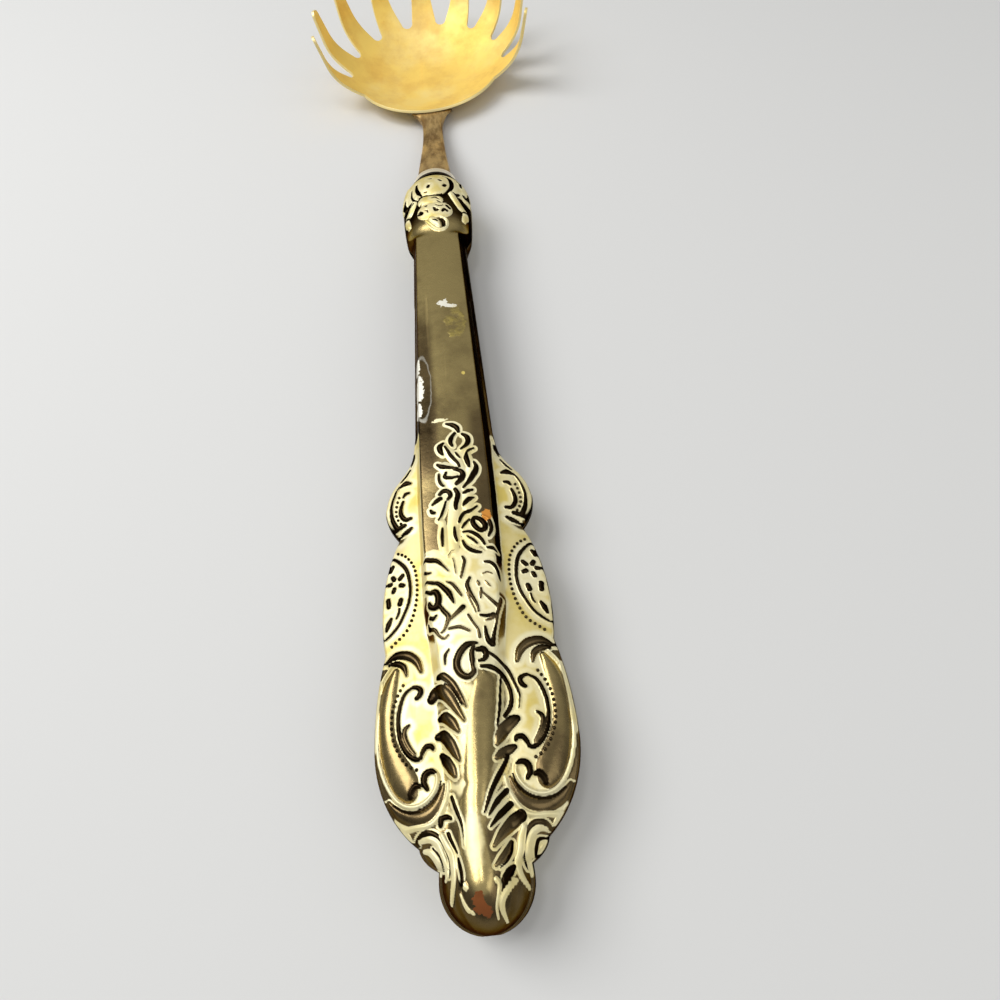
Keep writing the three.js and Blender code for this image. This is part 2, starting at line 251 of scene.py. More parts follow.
def ramp(tree, value, low, high):
    """The value's rise from 0 at low to 1 at high, smooth at both ends."""
    made = tree.nodes.new("ShaderNodeMapRange")
    made.interpolation_type = "SMOOTHSTEP"
    socket(tree, value, made.inputs["Value"])
    made.inputs["From Min"].default_value = low
    made.inputs["From Max"].default_value = high
    return made.outputs["Result"]


def noise(tree, vector, scale, detail, rough, stretch=None):
    if stretch is not None:
        mapped = tree.nodes.new("ShaderNodeMapping")
        mapped.inputs["Scale"].default_value = stretch
        tree.links.new(vector, mapped.inputs["Vector"])
        vector = mapped.outputs["Vector"]
    made = tree.nodes.new("ShaderNodeTexNoise")
    made.inputs["Scale"].default_value = scale
    made.inputs["Detail"].default_value = detail
    made.inputs["Roughness"].default_value = rough
    tree.links.new(vector, made.inputs["Vector"])
    return made.outputs["Fac"]


def attribute(tree, name):
    made = tree.nodes.new("ShaderNodeAttribute")
    made.attribute_name = name
    return made.outputs["Fac"]


def vector_maths(tree, operation, a, b, output=0):
    made = tree.nodes.new("ShaderNodeVectorMath")
    made.operation = operation
    socket(tree, a, made.inputs[0])
    if b is not None:
        socket(tree, b, made.inputs[1])
    return made.outputs[output]


def new_group(name, inputs, outputs):
    """A shader node group with its sockets, its input node and its output node."""
    tree = bpy.data.node_groups.new(name, "ShaderNodeTree")
    for in_out, sockets in (("INPUT", inputs), ("OUTPUT", outputs)):
        for label, kind in sockets:
            tree.interface.new_socket(label, in_out=in_out, socket_type=kind)
    return tree, tree.nodes.new("NodeGroupInput"), tree.nodes.new("NodeGroupOutput")


def worn_patch_group():
    """A ragged patch of wear about a centre: 1 inside, 0 outside, and the band along its edge."""
    tree, given, put = new_group(
        "worn_patch",
        [("Vector", "NodeSocketVector"), ("Centre", "NodeSocketVector"), ("Size", "NodeSocketVector"),
         ("Ragged", "NodeSocketFloat"), ("Grain", "NodeSocketFloat")],
        [("Mask", "NodeSocketFloat"), ("Edge", "NodeSocketFloat")],
    )
    away = vector_maths(tree, "SUBTRACT", given.outputs["Vector"], given.outputs["Centre"])
    share = vector_maths(tree, "DIVIDE", away, given.outputs["Size"])
    length = vector_maths(tree, "LENGTH", share, None, "Value")
    grain = tree.nodes.new("ShaderNodeTexNoise")
    grain.inputs["Detail"].default_value = 5.0
    tree.links.new(given.outputs["Vector"], grain.inputs["Vector"])
    tree.links.new(given.outputs["Grain"], grain.inputs["Scale"])
    uneven = swing(tree, grain.outputs["Fac"], NOISE_MIDDLE, given.outputs["Ragged"])
    reach = maths(tree, "ADD", length, uneven)
    tree.links.new(ramp(tree, reach, *PATCH_FADE), put.inputs["Mask"])
    from_edge = maths(tree, "ABSOLUTE", maths(tree, "SUBTRACT", reach, PATCH_EDGE))
    tree.links.new(ramp(tree, from_edge, *PATCH_BAND), put.inputs["Edge"])
    return tree


def mottle_group():
    """Uneven tarnish: a broad stain, a fine speckle and hairline scratches."""
    tree, given, put = new_group(
        "mottle",
        [("Vector", "NodeSocketVector")],
        [("Stain", "NodeSocketFloat"), ("Speckle", "NodeSocketFloat"), ("Scratch", "NodeSocketFloat")],
    )
    vector = given.outputs["Vector"]
    broad = noise(tree, vector, scale=95.0, detail=6.0, rough=0.62)
    fine = noise(tree, vector, scale=900.0, detail=4.0, rough=0.6)
    drawn = noise(tree, vector, scale=420.0, detail=2.0, rough=0.5, stretch=(1.0, 0.06, 1.0))
    tree.links.new(ramp(tree, broad, low=0.38, high=0.72), put.inputs["Stain"])
    tree.links.new(fine, put.inputs["Speckle"])
    tree.links.new(ramp(tree, drawn, low=0.66, high=0.72), put.inputs["Scratch"])
    return tree


WORN_PATCH = worn_patch_group()
MOTTLE = mottle_group()


def use_group(tree, group, **values):
    made = tree.nodes.new("ShaderNodeGroup")
    made.node_tree = group
    for label, value in values.items():
        socket(tree, value, made.inputs[label])
    return made.outputs


def new_material(name):
    """A material, its nodes and its Principled shader."""
    material = bpy.data.materials.new(name)
    material.use_nodes = True
    tree = material.node_tree
    return material, tree, tree.nodes["Principled BSDF"]


def object_place(tree):
    """The object's own coordinates."""
    return tree.nodes.new("ShaderNodeTexCoord").outputs["Object"]


def tarnish_tone(tree):
    return use_group(tree, MOTTLE, Vector=object_place(tree))


def bump(tree, shader, height, strength, distance):
    made = tree.nodes.new("ShaderNodeBump")
    made.inputs["Strength"].default_value = strength
    made.inputs["Distance"].default_value = distance
    tree.links.new(height, made.inputs["Height"])
    tree.links.new(made.outputs["Normal"], shader.inputs["Normal"])


def handle_point(s, x, z):
    """A place on the front of the handle, in the frame's metres."""
    return (x * MM, (HANDLE_END + s) * MM, (SEAM_HEIGHT + z) * MM)


# Finishes

KHAKI = linear(192, 172, 116)
ROLL_BROWN = linear(116, 99, 68)
DEEP_BROWN = linear(32, 23, 12)
CREAM = linear(255, 246, 202)
YELLOWED = linear(228, 206, 114)
FLAKE_WHITE = linear(250, 247, 232)
COPPER = linear(138, 82, 46)
ORANGE = linear(224, 152, 70)
GOLD = linear(255, 224, 122)
GOLD_STAIN = linear(196, 138, 52)
GOLD_PALE = linear(255, 236, 164)
GOLD_EDGE = linear(252, 232, 166)
NECK_BROWN = linear(132, 102, 58)
NECK_GOLD = linear(206, 174, 114)
RING_PALE = linear(246, 238, 218)
RESIN = linear(110, 92, 70)
GRAZING = linear(120, 104, 74)

# Bare spots of the plating: s, x, z, half sizes across, along and up, raggedness, colour
FLAKES = [
    (119.3, 0.3, 6.5, (1.3, 1.2, 4.0), 1.8, FLAKE_WHITE),
    (118.3, 1.9, 6.5, (1.6, 0.6, 4.0), 1.6, FLAKE_WHITE),
    (102.4, -6.1, 5.8, (0.7, 2.2, 4.0), 1.1, FLAKE_WHITE),
    (96.2, -5.9, 6.0, (1.1, 3.6, 4.0), 1.5, FLAKE_WHITE),
    (91.0, -6.1, 6.0, (0.9, 2.0, 4.0), 1.5, FLAKE_WHITE),
    (99.0, 3.4, 6.4, (0.4, 0.5, 2.0), 0.9, YELLOWED),
    (87.5, -1.9, 6.9, (1.6, 0.45, 2.0), 1.7, CREAM),
    (65.3, 5.4, 6.6, (0.9, 1.5, 2.4), 1.2, ORANGE),
    (4.2, -0.8, 6.4, (1.0, 1.6, 3.0), 1.6, COPPER),
    (3.0, 0.1, 5.6, (0.9, 0.8, 3.0), 1.6, COPPER),
]
FLAKE_GRAIN = 1500.0
# Places of the peeled edge and the crumpled plating: s, x, z and half sizes
PEEL = (96.2, -5.2, 5.4, (2.1, 9.0, 5.0))
WRINKLE = (113.4, 2.6, 6.5, (2.3, 5.2, 4.0))


def patch_at(tree, place, spot, ragged, grain):
    s, x, z, size = spot
    return use_group(tree, WORN_PATCH, Vector=place, Centre=handle_point(s, x, z),
                     Size=[v * MM for v in size], Ragged=ragged, Grain=grain)


def tarnished_plate():
    """Polished, tarnished metal on what stands out and pale residue in what lies deep."""
    material, tree, shader = new_material("tarnished_plate")
    tone = tarnish_tone(tree)
    place = object_place(tree)
    residue = attribute(tree, "residue")

    # Metal, from khaki to nearly black
    uneven = swing(tree, tone["Stain"], middle=0.4, amount=0.22)
    shade = maths(tree, "ADD", attribute(tree, "shade"), uneven)
    half = colour_mix(tree, ramp(tree, shade, low=0.0, high=0.55), KHAKI, ROLL_BROWN)
    metal = colour_mix(tree, ramp(tree, shade, low=0.45, high=1.0), half, DEEP_BROWN)

    # Residue, yellowed where it is stained and away from the strokes; the paler cream next to the strokes
    # stands in for highlights on their edges, and the attribute also carries a painted highlight on the rib
    far_from_strokes = ramp(tree, residue, low=1.0, high=2.0)
    yellow = scaled(tree, tone["Stain"], factor=0.6, base=scaled(tree, far_from_strokes, factor=0.6))
    cream = colour_mix(tree, yellow, CREAM, YELLOWED)
    break_up = maths(tree, "ADD", swing(tree, tone["Speckle"], middle=NOISE_MIDDLE, amount=0.4),
                     swing(tree, tone["Stain"], middle=0.45, amount=0.3))
    covered = ramp(tree, maths(tree, "ADD", residue, break_up), low=0.3, high=0.7)
    colour = colour_mix(tree, covered, metal, cream)

    # Bare spots, the peeled edge, and the crumpled place with pale flecks painted as highlights
    bare = covered
    for s, x, z, size, ragged, paint in FLAKES:
        flake = patch_at(tree, place, (s, x, z, size), ragged, FLAKE_GRAIN)
        colour = colour_mix(tree, flake["Mask"], colour, paint)
        bare = maths(tree, "MAXIMUM", bare, flake["Mask"])
    peel = patch_at(tree, place, PEEL, ragged=0.3, grain=500.0)
    colour = colour_mix(tree, scaled(tree, peel["Edge"], factor=0.4), colour, FLAKE_WHITE)
    wrinkle = patch_at(tree, place, WRINKLE, ragged=0.9, grain=900.0)
    crumple_pattern = ramp(tree, noise(tree, place, scale=520.0, detail=5.0, rough=0.6), low=0.36, high=0.7)
    crumples_and_highlights = maths(tree, "MULTIPLY", wrinkle["Mask"], crumple_pattern)
    # Painted highlights: pale flecks over the crumples; the same pattern also gives them a real bump
    colour = colour_mix(tree, scaled(tree, crumples_and_highlights, factor=0.75), colour, YELLOWED)

    rough = scaled(tree, tone["Speckle"], factor=0.14, base=0.2)
    rough = scaled(tree, bare, factor=0.2, base=rough)
    rough = scaled(tree, tone["Scratch"], factor=0.12, base=rough)
    relief = scaled(tree, crumples_and_highlights, factor=3.0, base=tone["Speckle"])
    tree.links.new(colour, shader.inputs["Base Color"])
    tree.links.new(scaled(tree, bare, factor=-0.5, base=1.0), shader.inputs["Metallic"])
    tree.links.new(rough, shader.inputs["Roughness"])
    shader.inputs["Specular Tint"].default_value = GRAZING
    bump(tree, shader, relief, strength=0.25, distance=0.00012)
    return material


def bead_metal():
    material, tree, shader = new_material("bead_metal")
    tone = tarnish_tone(tree)
    colour = colour_mix(tree, scaled(tree, tone["Stain"], factor=0.6), DEEP_BROWN, ROLL_BROWN)
    tree.links.new(colour, shader.inputs["Base Color"])
    shader.inputs["Metallic"].default_value = 1.0
    shader.inputs["Roughness"].default_value = 0.3
    return material


def gold_wash():
    material, tree, shader = new_material("gold_wash")
    tone = tarnish_tone(tree)
    patchy = noise(tree, object_place(tree), scale=42.0, detail=5.0, rough=0.6)
    broad = ramp(tree, patchy, low=0.42, high=0.7)
    colour = colour_mix(tree, scaled(tree, broad, factor=0.7), GOLD, GOLD_PALE)
    colour = colour_mix(tree, scaled(tree, tone["Stain"], factor=0.36), colour, GOLD_STAIN)
    rough = scaled(tree, tone["Stain"], factor=0.12, base=0.58)
    tree.links.new(colour, shader.inputs["Base Color"])
    shader.inputs["Metallic"].default_value = 0.6
    tree.links.new(scaled(tree, tone["Scratch"], factor=0.1, base=rough), shader.inputs["Roughness"])
    bump(tree, shader, tone["Speckle"], strength=0.18, distance=0.0001)
    return material


def worn_edge():
    """Bare, bright edge of the gold-washed sheet."""
    material, tree, shader = new_material("worn_edge")
    tone = tarnish_tone(tree)
    colour = colour_mix(tree, scaled(tree, tone["Stain"], factor=0.6), GOLD_EDGE, GOLD)
    tree.links.new(colour, shader.inputs["Base Color"])
    shader.inputs["Metallic"].default_value = 0.5
    tree.links.new(scaled(tree, tone["Speckle"], factor=0.2, base=0.3), shader.inputs["Roughness"])
    return material


def worn_neck():
    material, tree, shader = new_material("worn_neck")
    tone = tarnish_tone(tree)
    drawn = noise(tree, object_place(tree), scale=320.0, detail=5.0, rough=0.65, stretch=(1.0, 0.3, 1.0))
    streak = ramp(tree, drawn, low=0.36, high=0.62)
    colour = colour_mix(tree, streak, NECK_BROWN, NECK_GOLD)
    colour = colour_mix(tree, scaled(tree, tone["Stain"], factor=0.2), colour, DEEP_BROWN)
    tree.links.new(colour, shader.inputs["Base Color"])
    shader.inputs["Metallic"].default_value = 0.7
    tree.links.new(scaled(tree, streak, factor=-0.1, base=0.5), shader.inputs["Roughness"])
    bump(tree, shader, tone["Speckle"], strength=0.4, distance=0.0002)
    return material


def pale_rim():
    """Pale ring with a painted shadow in the joint where it meets the handle's mouth."""
    material, tree, shader = new_material("pale_rim")
    tone = tarnish_tone(tree)
    colour = colour_mix(tree, scaled(tree, tone["Stain"], factor=0.5), RING_PALE, KHAKI)
    split = tree.nodes.new("ShaderNodeSeparateXYZ")
    tree.links.new(object_place(tree), split.inputs[0])
    # Painted shadow: dark brown on the ring's front, before the joint
    low, high = [handle_point(s, 0, 0)[1] for s in RING_JOINT_SHADOW]
    colour = colour_mix(tree, ramp(tree, split.outputs["Y"], low, high), DEEP_BROWN, colour)
    tree.links.new(colour, shader.inputs["Base Color"])
    shader.inputs["Metallic"].default_value = 0.5
    tree.links.new(scaled(tree, tone["Speckle"], factor=0.2, base=0.28), shader.inputs["Roughness"])
    return material


def cast_resin():
    material, tree, shader = new_material("cast_resin")
    tone = tarnish_tone(tree)
    tree.links.new(colour_mix(tree, tone["Stain"], RESIN, DEEP_BROWN), shader.inputs["Base Color"])
    shader.inputs["Roughness"].default_value = 0.85
    return material


# Mesh helpers


def put_in_scene(name, data):
    made = bpy.data.objects.new(name, data)
    bpy.context.scene.collection.objects.link(made)
    return made


def smooth(mesh):
    mesh.polygons.foreach_set("use_smooth", [True] * len(mesh.polygons))


def new_piece(name, points, faces, material):
    """A smooth mesh object from points in millimetres, in the frame's place."""
    mesh = bpy.data.meshes.new(name)
    mesh.from_pydata((np.asarray(points) * MM).tolist(), [], faces)
    mesh.materials.append(material)
    smooth(mesh)
    mesh.update()
    return put_in_scene(name, mesh)


def plain_mesh(made):
    """The mesh that an object's modifiers make."""
    bpy.context.view_layer.update()
    seen = made.evaluated_get(bpy.context.evaluated_depsgraph_get())
    return bpy.data.meshes.new_from_object(seen)


def tidy_mesh(made, gap=MERGE_GAP):
    """Merges points closer than a gap and turns every face outwards."""
    work = bmesh.new()
    work.from_mesh(made.data)
    bmesh.ops.remove_doubles(work, verts=work.verts, dist=gap * MM)
    bmesh.ops.recalc_face_normals(work, faces=work.faces)
    work.to_mesh(made.data)
    work.free()
    made.data.update()


def ring_faces(rings, count):
    """Quads between neighbouring closed rings of points, and a cap on each end."""
    faces = []
    for r in range(rings - 1):
        for i in range(count):
            a = r * count + i
            b = r * count + (i + 1) % count
            faces.append((a, a + count, b + count, b))
    faces.append(tuple(range(count)))
    faces.append(tuple(range(rings * count - 1, (rings - 1) * count - 1, -1)))
    return faces


# Handle's plain form


def lobe_half(lobe, s):
    """Half width of one lobe, a quarter of an oval to either side of its widest place."""
    at, half, to_end, to_bowl = lobe
    run = np.where(s < at, to_end, to_bowl)
    return half * np.sqrt(np.maximum(0, 1 - ((s - at) / run) ** 2))


def shaft_half(s):
    share = np.clip((s - SHAFT_START) / (SHAFT_END - SHAFT_START), 0, 1)
    return SHAFT_WIDE + (SHAFT_NARROW - SHAFT_WIDE) * share


def outline_half(s):
    """Half width of the handle's outline, without the collar."""
    widest = np.max([lobe_half(lobe, s) for lobe in LOBES.values()], axis=0)
    slope = spline(SHOULDER)
    after = np.where(s < SHAFT_START, np.interp(s, slope[:, 0], slope[:, 1]), shaft_half(s))
    return np.maximum(widest, np.where(s > SHOULDER[0][0], after, 0))


def section_at(s):
    """The half section's values at places along the handle, run down over the domed end."""
    table = np.array(SECTIONS)
    tip = LOBES["tip"]
    dome = np.where(s < tip[0], lobe_half(tip, s) / tip[1], 1.0)
    return [np.interp(s, table[:, 0], table[:, k]) * dome for k in range(1, table.shape[1])]


def plain_height(s, x, half):
    """Height of the stamping above the seam, before its ornament."""
    top, crown, panel, run, ground, belly, edge = section_at(s)
    across = np.abs(x)
    face = top - crown * (across / np.maximum(panel, TINY)) ** 2
    wall = np.clip((across - panel) / np.maximum(run, TINY), 0, 1)
    side = (top - crown) + (ground - top + crown) * wall
    flank_run = np.maximum(half - EDGE_RUN - panel - run, TINY)
    out = np.clip((across - panel - run) / flank_run, 0, 1)
    flank = ground + (edge - ground) * out + belly * np.sin(np.pi * out)
    return np.where(across <= panel, face, np.where(wall < 1, side, flank))


def collar_size(s):
    """Half width and height of the bulging collar's round section."""
    run = np.where(s < COLLAR_AT, COLLAR_TO_SHAFT, COLLAR_TO_BOWL)
    share = np.sqrt(np.maximum(0, 1 - ((s - COLLAR_AT) / run) ** 2))
    low = np.where(s < COLLAR_AT, SHAFT_NARROW, 0.0)
    low_rise = np.where(s < COLLAR_AT, SECTIONS[-1][1], 0.0)
    return low + (COLLAR_HALF - low) * share, low_rise + (COLLAR_RISE - low_rise) * share


# Ornament: strokes through given points (s, x), with half widths from start to end

# Strokes: a gap that counts as far, how far gaps are measured, overlap, soft edge, roundness of the top
FAR = 9.0
HALO = 1.2
OVERLAP = 0.08
SOFT = 0.12
ROUNDNESS = 0.65
# Shades of metal strokes at start and end, where 1 is nearly black, and the mark of a pale fillet
PALE = "pale"
DARK = (1.0, 1.0)
OLIVE = (0.65, 0.65)
HEAD = (1.0, 0.4)


def spline(points, per_span=6):
    """A smooth line through the points."""
    p = np.asarray(points, float)
    p = np.vstack([2 * p[0] - p[1], p, 2 * p[-1] - p[-2]])
    t = np.linspace(0, 1, per_span, endpoint=False)[:, None]
    spans = []
    for a, b, c, d in zip(p[:-3], p[1:-2], p[2:-1], p[3:]):
        bend = (2 * a - 5 * b + 4 * c - d) * t ** 2 + (3 * b - a - 3 * c + d) * t ** 3
        spans.append((2 * b + (c - a) * t + bend) / 2)
    return np.vstack(spans + [p[-2:-1]])


class Chasing:
    """Ornament laid stroke over stroke on a grid: height, shade, pale fillets and the gap to it."""

    def __init__(self, s, x):
        self.shape = s.shape
        self.at = np.column_stack([s.ravel(), x.ravel()])
        count = len(self.at)
        self.values = {"rise": np.zeros(count), "gap": np.full(count, FAR),
                       "shade": np.zeros(count), "pale": np.zeros(count)}

    def grid(self, name):
        return self.values[name].reshape(self.shape)

    def stroke(self, widths, rise, shade, points):
        """A metal stroke, a pale fillet, or a cut when the rise is below nought."""
        line = spline(points)
        steps = np.linspace(0, 1, len(line))
        half = np.interp(steps, np.linspace(0, 1, len(widths)), widths)
        reach = half.max() + HALO
        inside = (self.at > line.min(0) - reach) & (self.at < line.max(0) + reach)
        near = np.flatnonzero(inside.all(1))
        if not near.size:
            return
        place = self.at[near]
        best = np.full(near.size, FAR)
        share = np.full(near.size, FAR)
        run_share = np.zeros(near.size)
        for k in range(len(line) - 1):
            run = line[k + 1] - line[k]
            along = np.clip(((place - line[k]) @ run) / max(run @ run, TINY ** 2), 0, 1)
            away = np.hypot(*(place - line[k] - along[:, None] * run).T)
            width = half[k] + (half[k + 1] - half[k]) * along
            nearer = away - width < best
            best = np.where(nearer, away - width, best)
            share = np.where(nearer, away / width, share)
            run_share = np.where(nearer, steps[k] + (steps[k + 1] - steps[k]) * along, run_share)
        now = {name: values[near] for name, values in self.values.items()}
        profile = rise * np.maximum(0, 1 - share ** 2) ** ROUNDNESS
        now["rise"] = now["rise"] + profile if rise < 0 else np.maximum(now["rise"], profile)
        if shade == PALE:
            now["pale"] = np.maximum(now["pale"], smoothstep(SOFT, -SOFT, best))
        else:
            taken = (best < OVERLAP) | (best < now["gap"])
            now["shade"] = np.where(taken, shade[0] + (shade[1] - shade[0]) * run_share, now["shade"])
            now["gap"] = np.minimum(now["gap"], best)
            now["pale"] = now["pale"] * smoothstep(-SOFT, SOFT, best)
        for name, values in now.items():
            self.values[name][near] = values

    def pair(self, widths, rise, shade, points):
        self.stroke(widths, rise, shade, points)
        self.stroke(widths, rise, shade, [(s, -x) for s, x in points])


# Half widths of strokes that come again
THIN = (0.2, 0.3, 0.2)
LINE = (0.26, 0.38, 0.26)
HOOK = (0.28, 0.42, 0.46, 0.36)
PETAL = (0.26, 0.42, 0.26)
DROP = (0.42, 0.46)

# Big C-scroll lobes, alike on both sides: half widths, height, shade, points
SCROLL = [
    ((0.4, 0.85, 1.0, 0.95, 0.75, 0.5, 0.25), 0.5, (0.65, 0.5),
     [(19.0, 14.2), (17.2, 12.6), (16.15, 10.3), (16.4, 8.1), (17.5, 6.5), (19.2, 5.5), (20.4, 5.1)]),
    # Painted shadow: a dark line in the groove beside the pale rim's lower part
    ((0.15, 0.22, 0.22, 0.22, 0.15), 0.1, DARK,
     [(18.6, 13.3), (17.5, 11.6), (17.15, 9.6), (17.8, 7.6), (19.3, 6.1), (21.0, 5.5)]),
    ((0.6, 1.25, 1.5, 1.5, 1.5, 1.65, 2.0, 2.35, 2.4, 1.6), 0.75, (0.2, 0.5),
     [(39.4, 12.4), (37.4, 13.3), (35.2, 13.9), (32.6, 14.3), (30.0, 14.3), (27.5, 14.0), (25.0, 13.2),
      (23.0, 12.3), (21.4, 11.5), (20.0, 10.8)]),
    ((0.22, 0.28, 0.3, 0.3, 0.32, 0.34, 0.34, 0.32, 0.3, 0.26), 0.8, PALE,
     [(40.3, 13.3), (38.4, 14.8), (36.0, 15.5), (33.0, 15.8), (30.0, 15.9), (27.5, 15.85), (24.8, 15.5),
      (22.0, 14.6), (19.6, 13.2), (18.2, 11.5), (17.8, 9.6), (18.4, 7.8), (19.8, 6.5), (21.4, 6.0),
      (22.3, 6.3)]),
    ((0.22, 0.32, 0.34, 0.36, 0.42, 0.4, 0.3), 0.6, DARK,
     [(36.15, 9.4), (35.4, 10.7), (34.0, 11.5), (32.2, 12.0), (30.3, 12.1), (28.4, 11.9), (26.7, 11.3),
      (25.3, 10.3), (24.6, 9.2), (24.8, 8.4)]),
    ((0.25, 0.4, 0.5, 0.45, 0.3), 0.5, (0.95, 0.5),
     [(30.0, 10.3), (29.4, 11.0), (28.2, 11.1), (26.6, 10.4), (25.4, 9.5)]),
    (HOOK, 0.6, DARK, [(24.8, 8.5), (25.5, 8.2), (26.3, 7.6), (26.3, 6.8), (25.9, 6.5)]),
    (HOOK, 0.6, DARK, [(36.15, 9.4), (35.9, 8.6), (35.4, 8.15), (34.6, 8.4), (34.2, 8.9)]),
    ((0.35, 0.75, 0.85, 0.7, 0.35), 0.7, (1.0, 0.5),
     [(41.3, 14.2), (42.15, 12.4), (41.7, 10.2), (40.4, 8.7), (38.6, 8.0)]),
    ((0.35, 0.6, 0.55, 0.25), 0.6, (1.0, 0.6), [(40.8, 13.6), (40.75, 12.3), (39.9, 11.0), (38.3, 10.5)]),
    ((0.35, 0.5, 0.55, 0.48, 0.3), 0.65, DARK,
     [(20.1, 7.7), (21.1, 8.2), (22.2, 7.9), (22.6, 7.0), (22.3, 6.3)]),
    ((0.35, 0.48, 0.5, 0.35), 0.85, DARK, [(19.2, 10.4), (20.1, 10.2), (20.75, 9.5), (20.6, 8.9)]),
    ((0.5, 0.42, 0.4, 0.42, 0.4, 0.35, 0.25), 0.6, PALE,
     [(14.85, 12.2), (14.9, 10.3), (14.95, 8.0), (15.6, 6.6), (17.2, 5.4), (19.2, 4.6), (20.6, 4.4)]),
    ((0.45, 0.4, 0.2), 0.5, PALE, [(14.7, 11.9), (14.0, 11.3), (13.2, 10.7)]),
]
# Half width of the scroll lobes' pale rim along the handle, with none past the waist and the arches
NO_RIM = 30.0
RIM_PLACES = ((16.5, 18.2, 19.6, 22.0, 24.8, 27.5, 33.0, 36.0, 38.4, 40.3, 41.0),
              (NO_RIM, 11.5, 13.2, 14.6, 15.5, 15.85, 15.8, 15.5, 14.8, 13.3, NO_RIM))
# Shells below the waist
SHELL = [
    ((0.3, 0.45, 0.5, 0.5, 0.4, 0.3, 0.25, 0.22, 0.15), 0.4, (0.8, 1.0),
     [(11.3, -10.2), (12.7, -10.0), (13.5, -9.4), (14.0, -8.1), (13.4, -6.6), (12.1, -5.6),
      (10.4, -4.9), (9.0, -4.8), (7.8, -5.1)]),
    ((0.35, 0.5, 0.5, 0.42, 0.3, 0.25, 0.2), 0.4, (0.7, 1.0),
     [(12.9, 10.4), (13.7, 9.6), (13.9, 8.4), (13.4, 7.4), (11.9, 6.5), (10.2, 6.1), (8.7, 6.1),
      (7.9, 6.4)]),
    ((0.35, 0.48, 0.5, 0.45, 0.45, 0.4, 0.25), 0.5, PALE,
     [(13.0, -9.4), (13.1, -7.8), (12.4, -6.6), (10.9, -5.9), (9.6, -5.5), (8.1, -5.4), (7.4, -5.7)]),
    ((0.35, 0.48, 0.5, 0.45, 0.45, 0.4, 0.25), 0.5, PALE,
     [(12.9, 9.6), (13.1, 8.6), (12.5, 7.6), (11.2, 6.9), (9.6, 6.6), (8.1, 6.7), (7.0, 6.8)]),
    ((0.15, 0.2, 0.2, 0.15), 0.1, DARK, [(11.9, -7.4), (10.9, -6.6), (9.6, -6.1), (8.8, -6.0)]),
    ((0.2, 0.3, 0.3, 0.2), 0.1, DARK, [(11.8, 9.2), (11.6, 8.3), (10.4, 7.8), (9.5, 7.6)]),
    ((0.35, 0.5, 0.55, 0.5, 0.3), 0.5, PALE,
     [(11.7, -8.9), (11.4, -7.9), (10.3, -7.0), (9.1, -6.6), (8.2, -6.8)]),
    ((0.35, 0.4, 0.2), 0.45, PALE, [(11.3, 9.4), (10.5, 8.8), (9.9, 8.3)]),
]
# Ovals beside the flowers, with a flower in each
MEDALLION = [
    ((0.24, 0.32, 0.34, 0.3, 0.28, 0.28, 0.28, 0.28, 0.24), 0.5, DARK,
     [(61.4, 13.2), (60.0, 11.6), (58.1, 10.2), (55.8, 9.6), (53.5, 9.5), (51.3, 9.9), (49.5, 10.7),
      (47.7, 11.7), (46.4, 13.0), (45.6, 14.2)]),
    (DROP, 0.45, DARK, [(57.0, 10.9), (56.5, 11.4)]),
    (DROP, 0.45, DARK, [(57.1, 12.8), (56.6, 12.5)]),
    (DROP, 0.45, DARK, [(55.0, 10.8), (55.2, 11.3)]),
    (DROP, 0.45, DARK, [(54.2, 12.7), (54.7, 12.5)]),
    (DROP, 0.45, DARK, [(55.8, 13.6), (55.8, 13.2)]),
    ((0.48, 0.5), 0.45, DARK, [(52.3, 11.3), (51.6, 11.5)]),
    ((0.22, 0.25, 0.2), 0.4, DARK, [(50.7, 11.6), (49.7, 11.8), (49.0, 12.2)]),
    ((0.5, 0.5), 0.45, DARK, [(52.8, 13.7), (51.6, 13.6)]),
    ((0.35, 0.55, 0.3), 0.45, DARK, [(49.1, 13.2), (48.2, 13.7), (47.2, 14.1)]),
    ((0.4, 0.4), 0.45, DARK, [(59.3, 12.8), (58.5, 13.2)]),
]
# Cartouches above them
CARTOUCHE = [
    ((0.16, 0.22, 0.26, 0.3, 0.36, 0.46, 0.5), 0.6, DARK,
     [(76.0, 11.1), (75.0, 11.8), (73.5, 12.4), (72.0, 12.8), (70.0, 12.8), (68.6, 12.5), (67.3, 11.9)]),
    ((0.3, 0.44, 0.46, 0.36), 0.55, DARK,
     [(72.4, 10.4), (71.2, 10.8), (70.1, 10.9), (69.1, 10.6), (68.4, 9.9), (68.5, 9.0)]),
    ((0.3, 0.42, 0.25), 0.5, DARK, [(74.1, 9.2), (74.0, 9.9), (73.4, 10.3)]),
    ((0.3, 0.68, 0.3), 0.5, DARK, [(76.2, 8.8), (76.5, 9.9), (76.0, 10.9)]),
    ((0.36, 0.5, 0.36), 0.5, DARK, [(67.3, 10.2), (67.1, 11.1), (66.8, 12.0)]),
    ((0.3, 0.46, 0.3), 0.5, DARK, [(66.4, 8.9), (65.9, 9.8), (65.5, 10.9)]),
    (THIN, 0.4, DARK, [(83.4, 7.9), (82.0, 8.1), (80.6, 8.6)]),
    (THIN, 0.4, DARK, [(79.6, 8.9), (78.4, 9.7), (77.2, 10.8)]),
]
# The middle rib
RIB = ((0.2, 1.6, 2.0, 2.05, 2.05, 1.9, 1.6, 1.9, 1.9, 2.3, 2.15, 1.7), 0.3, (0.25, 0.0),
       [(36.6, 2.6), (34.6, 2.6), (31.5, 2.1), (28.0, 1.35), (23.4, 0.75), (21.0, 0.3), (19.4, 0.2),
        (17.0, -0.7), (14.0, -1.0), (10.0, -0.9), (8.0, -0.35), (6.6, -0.2)])
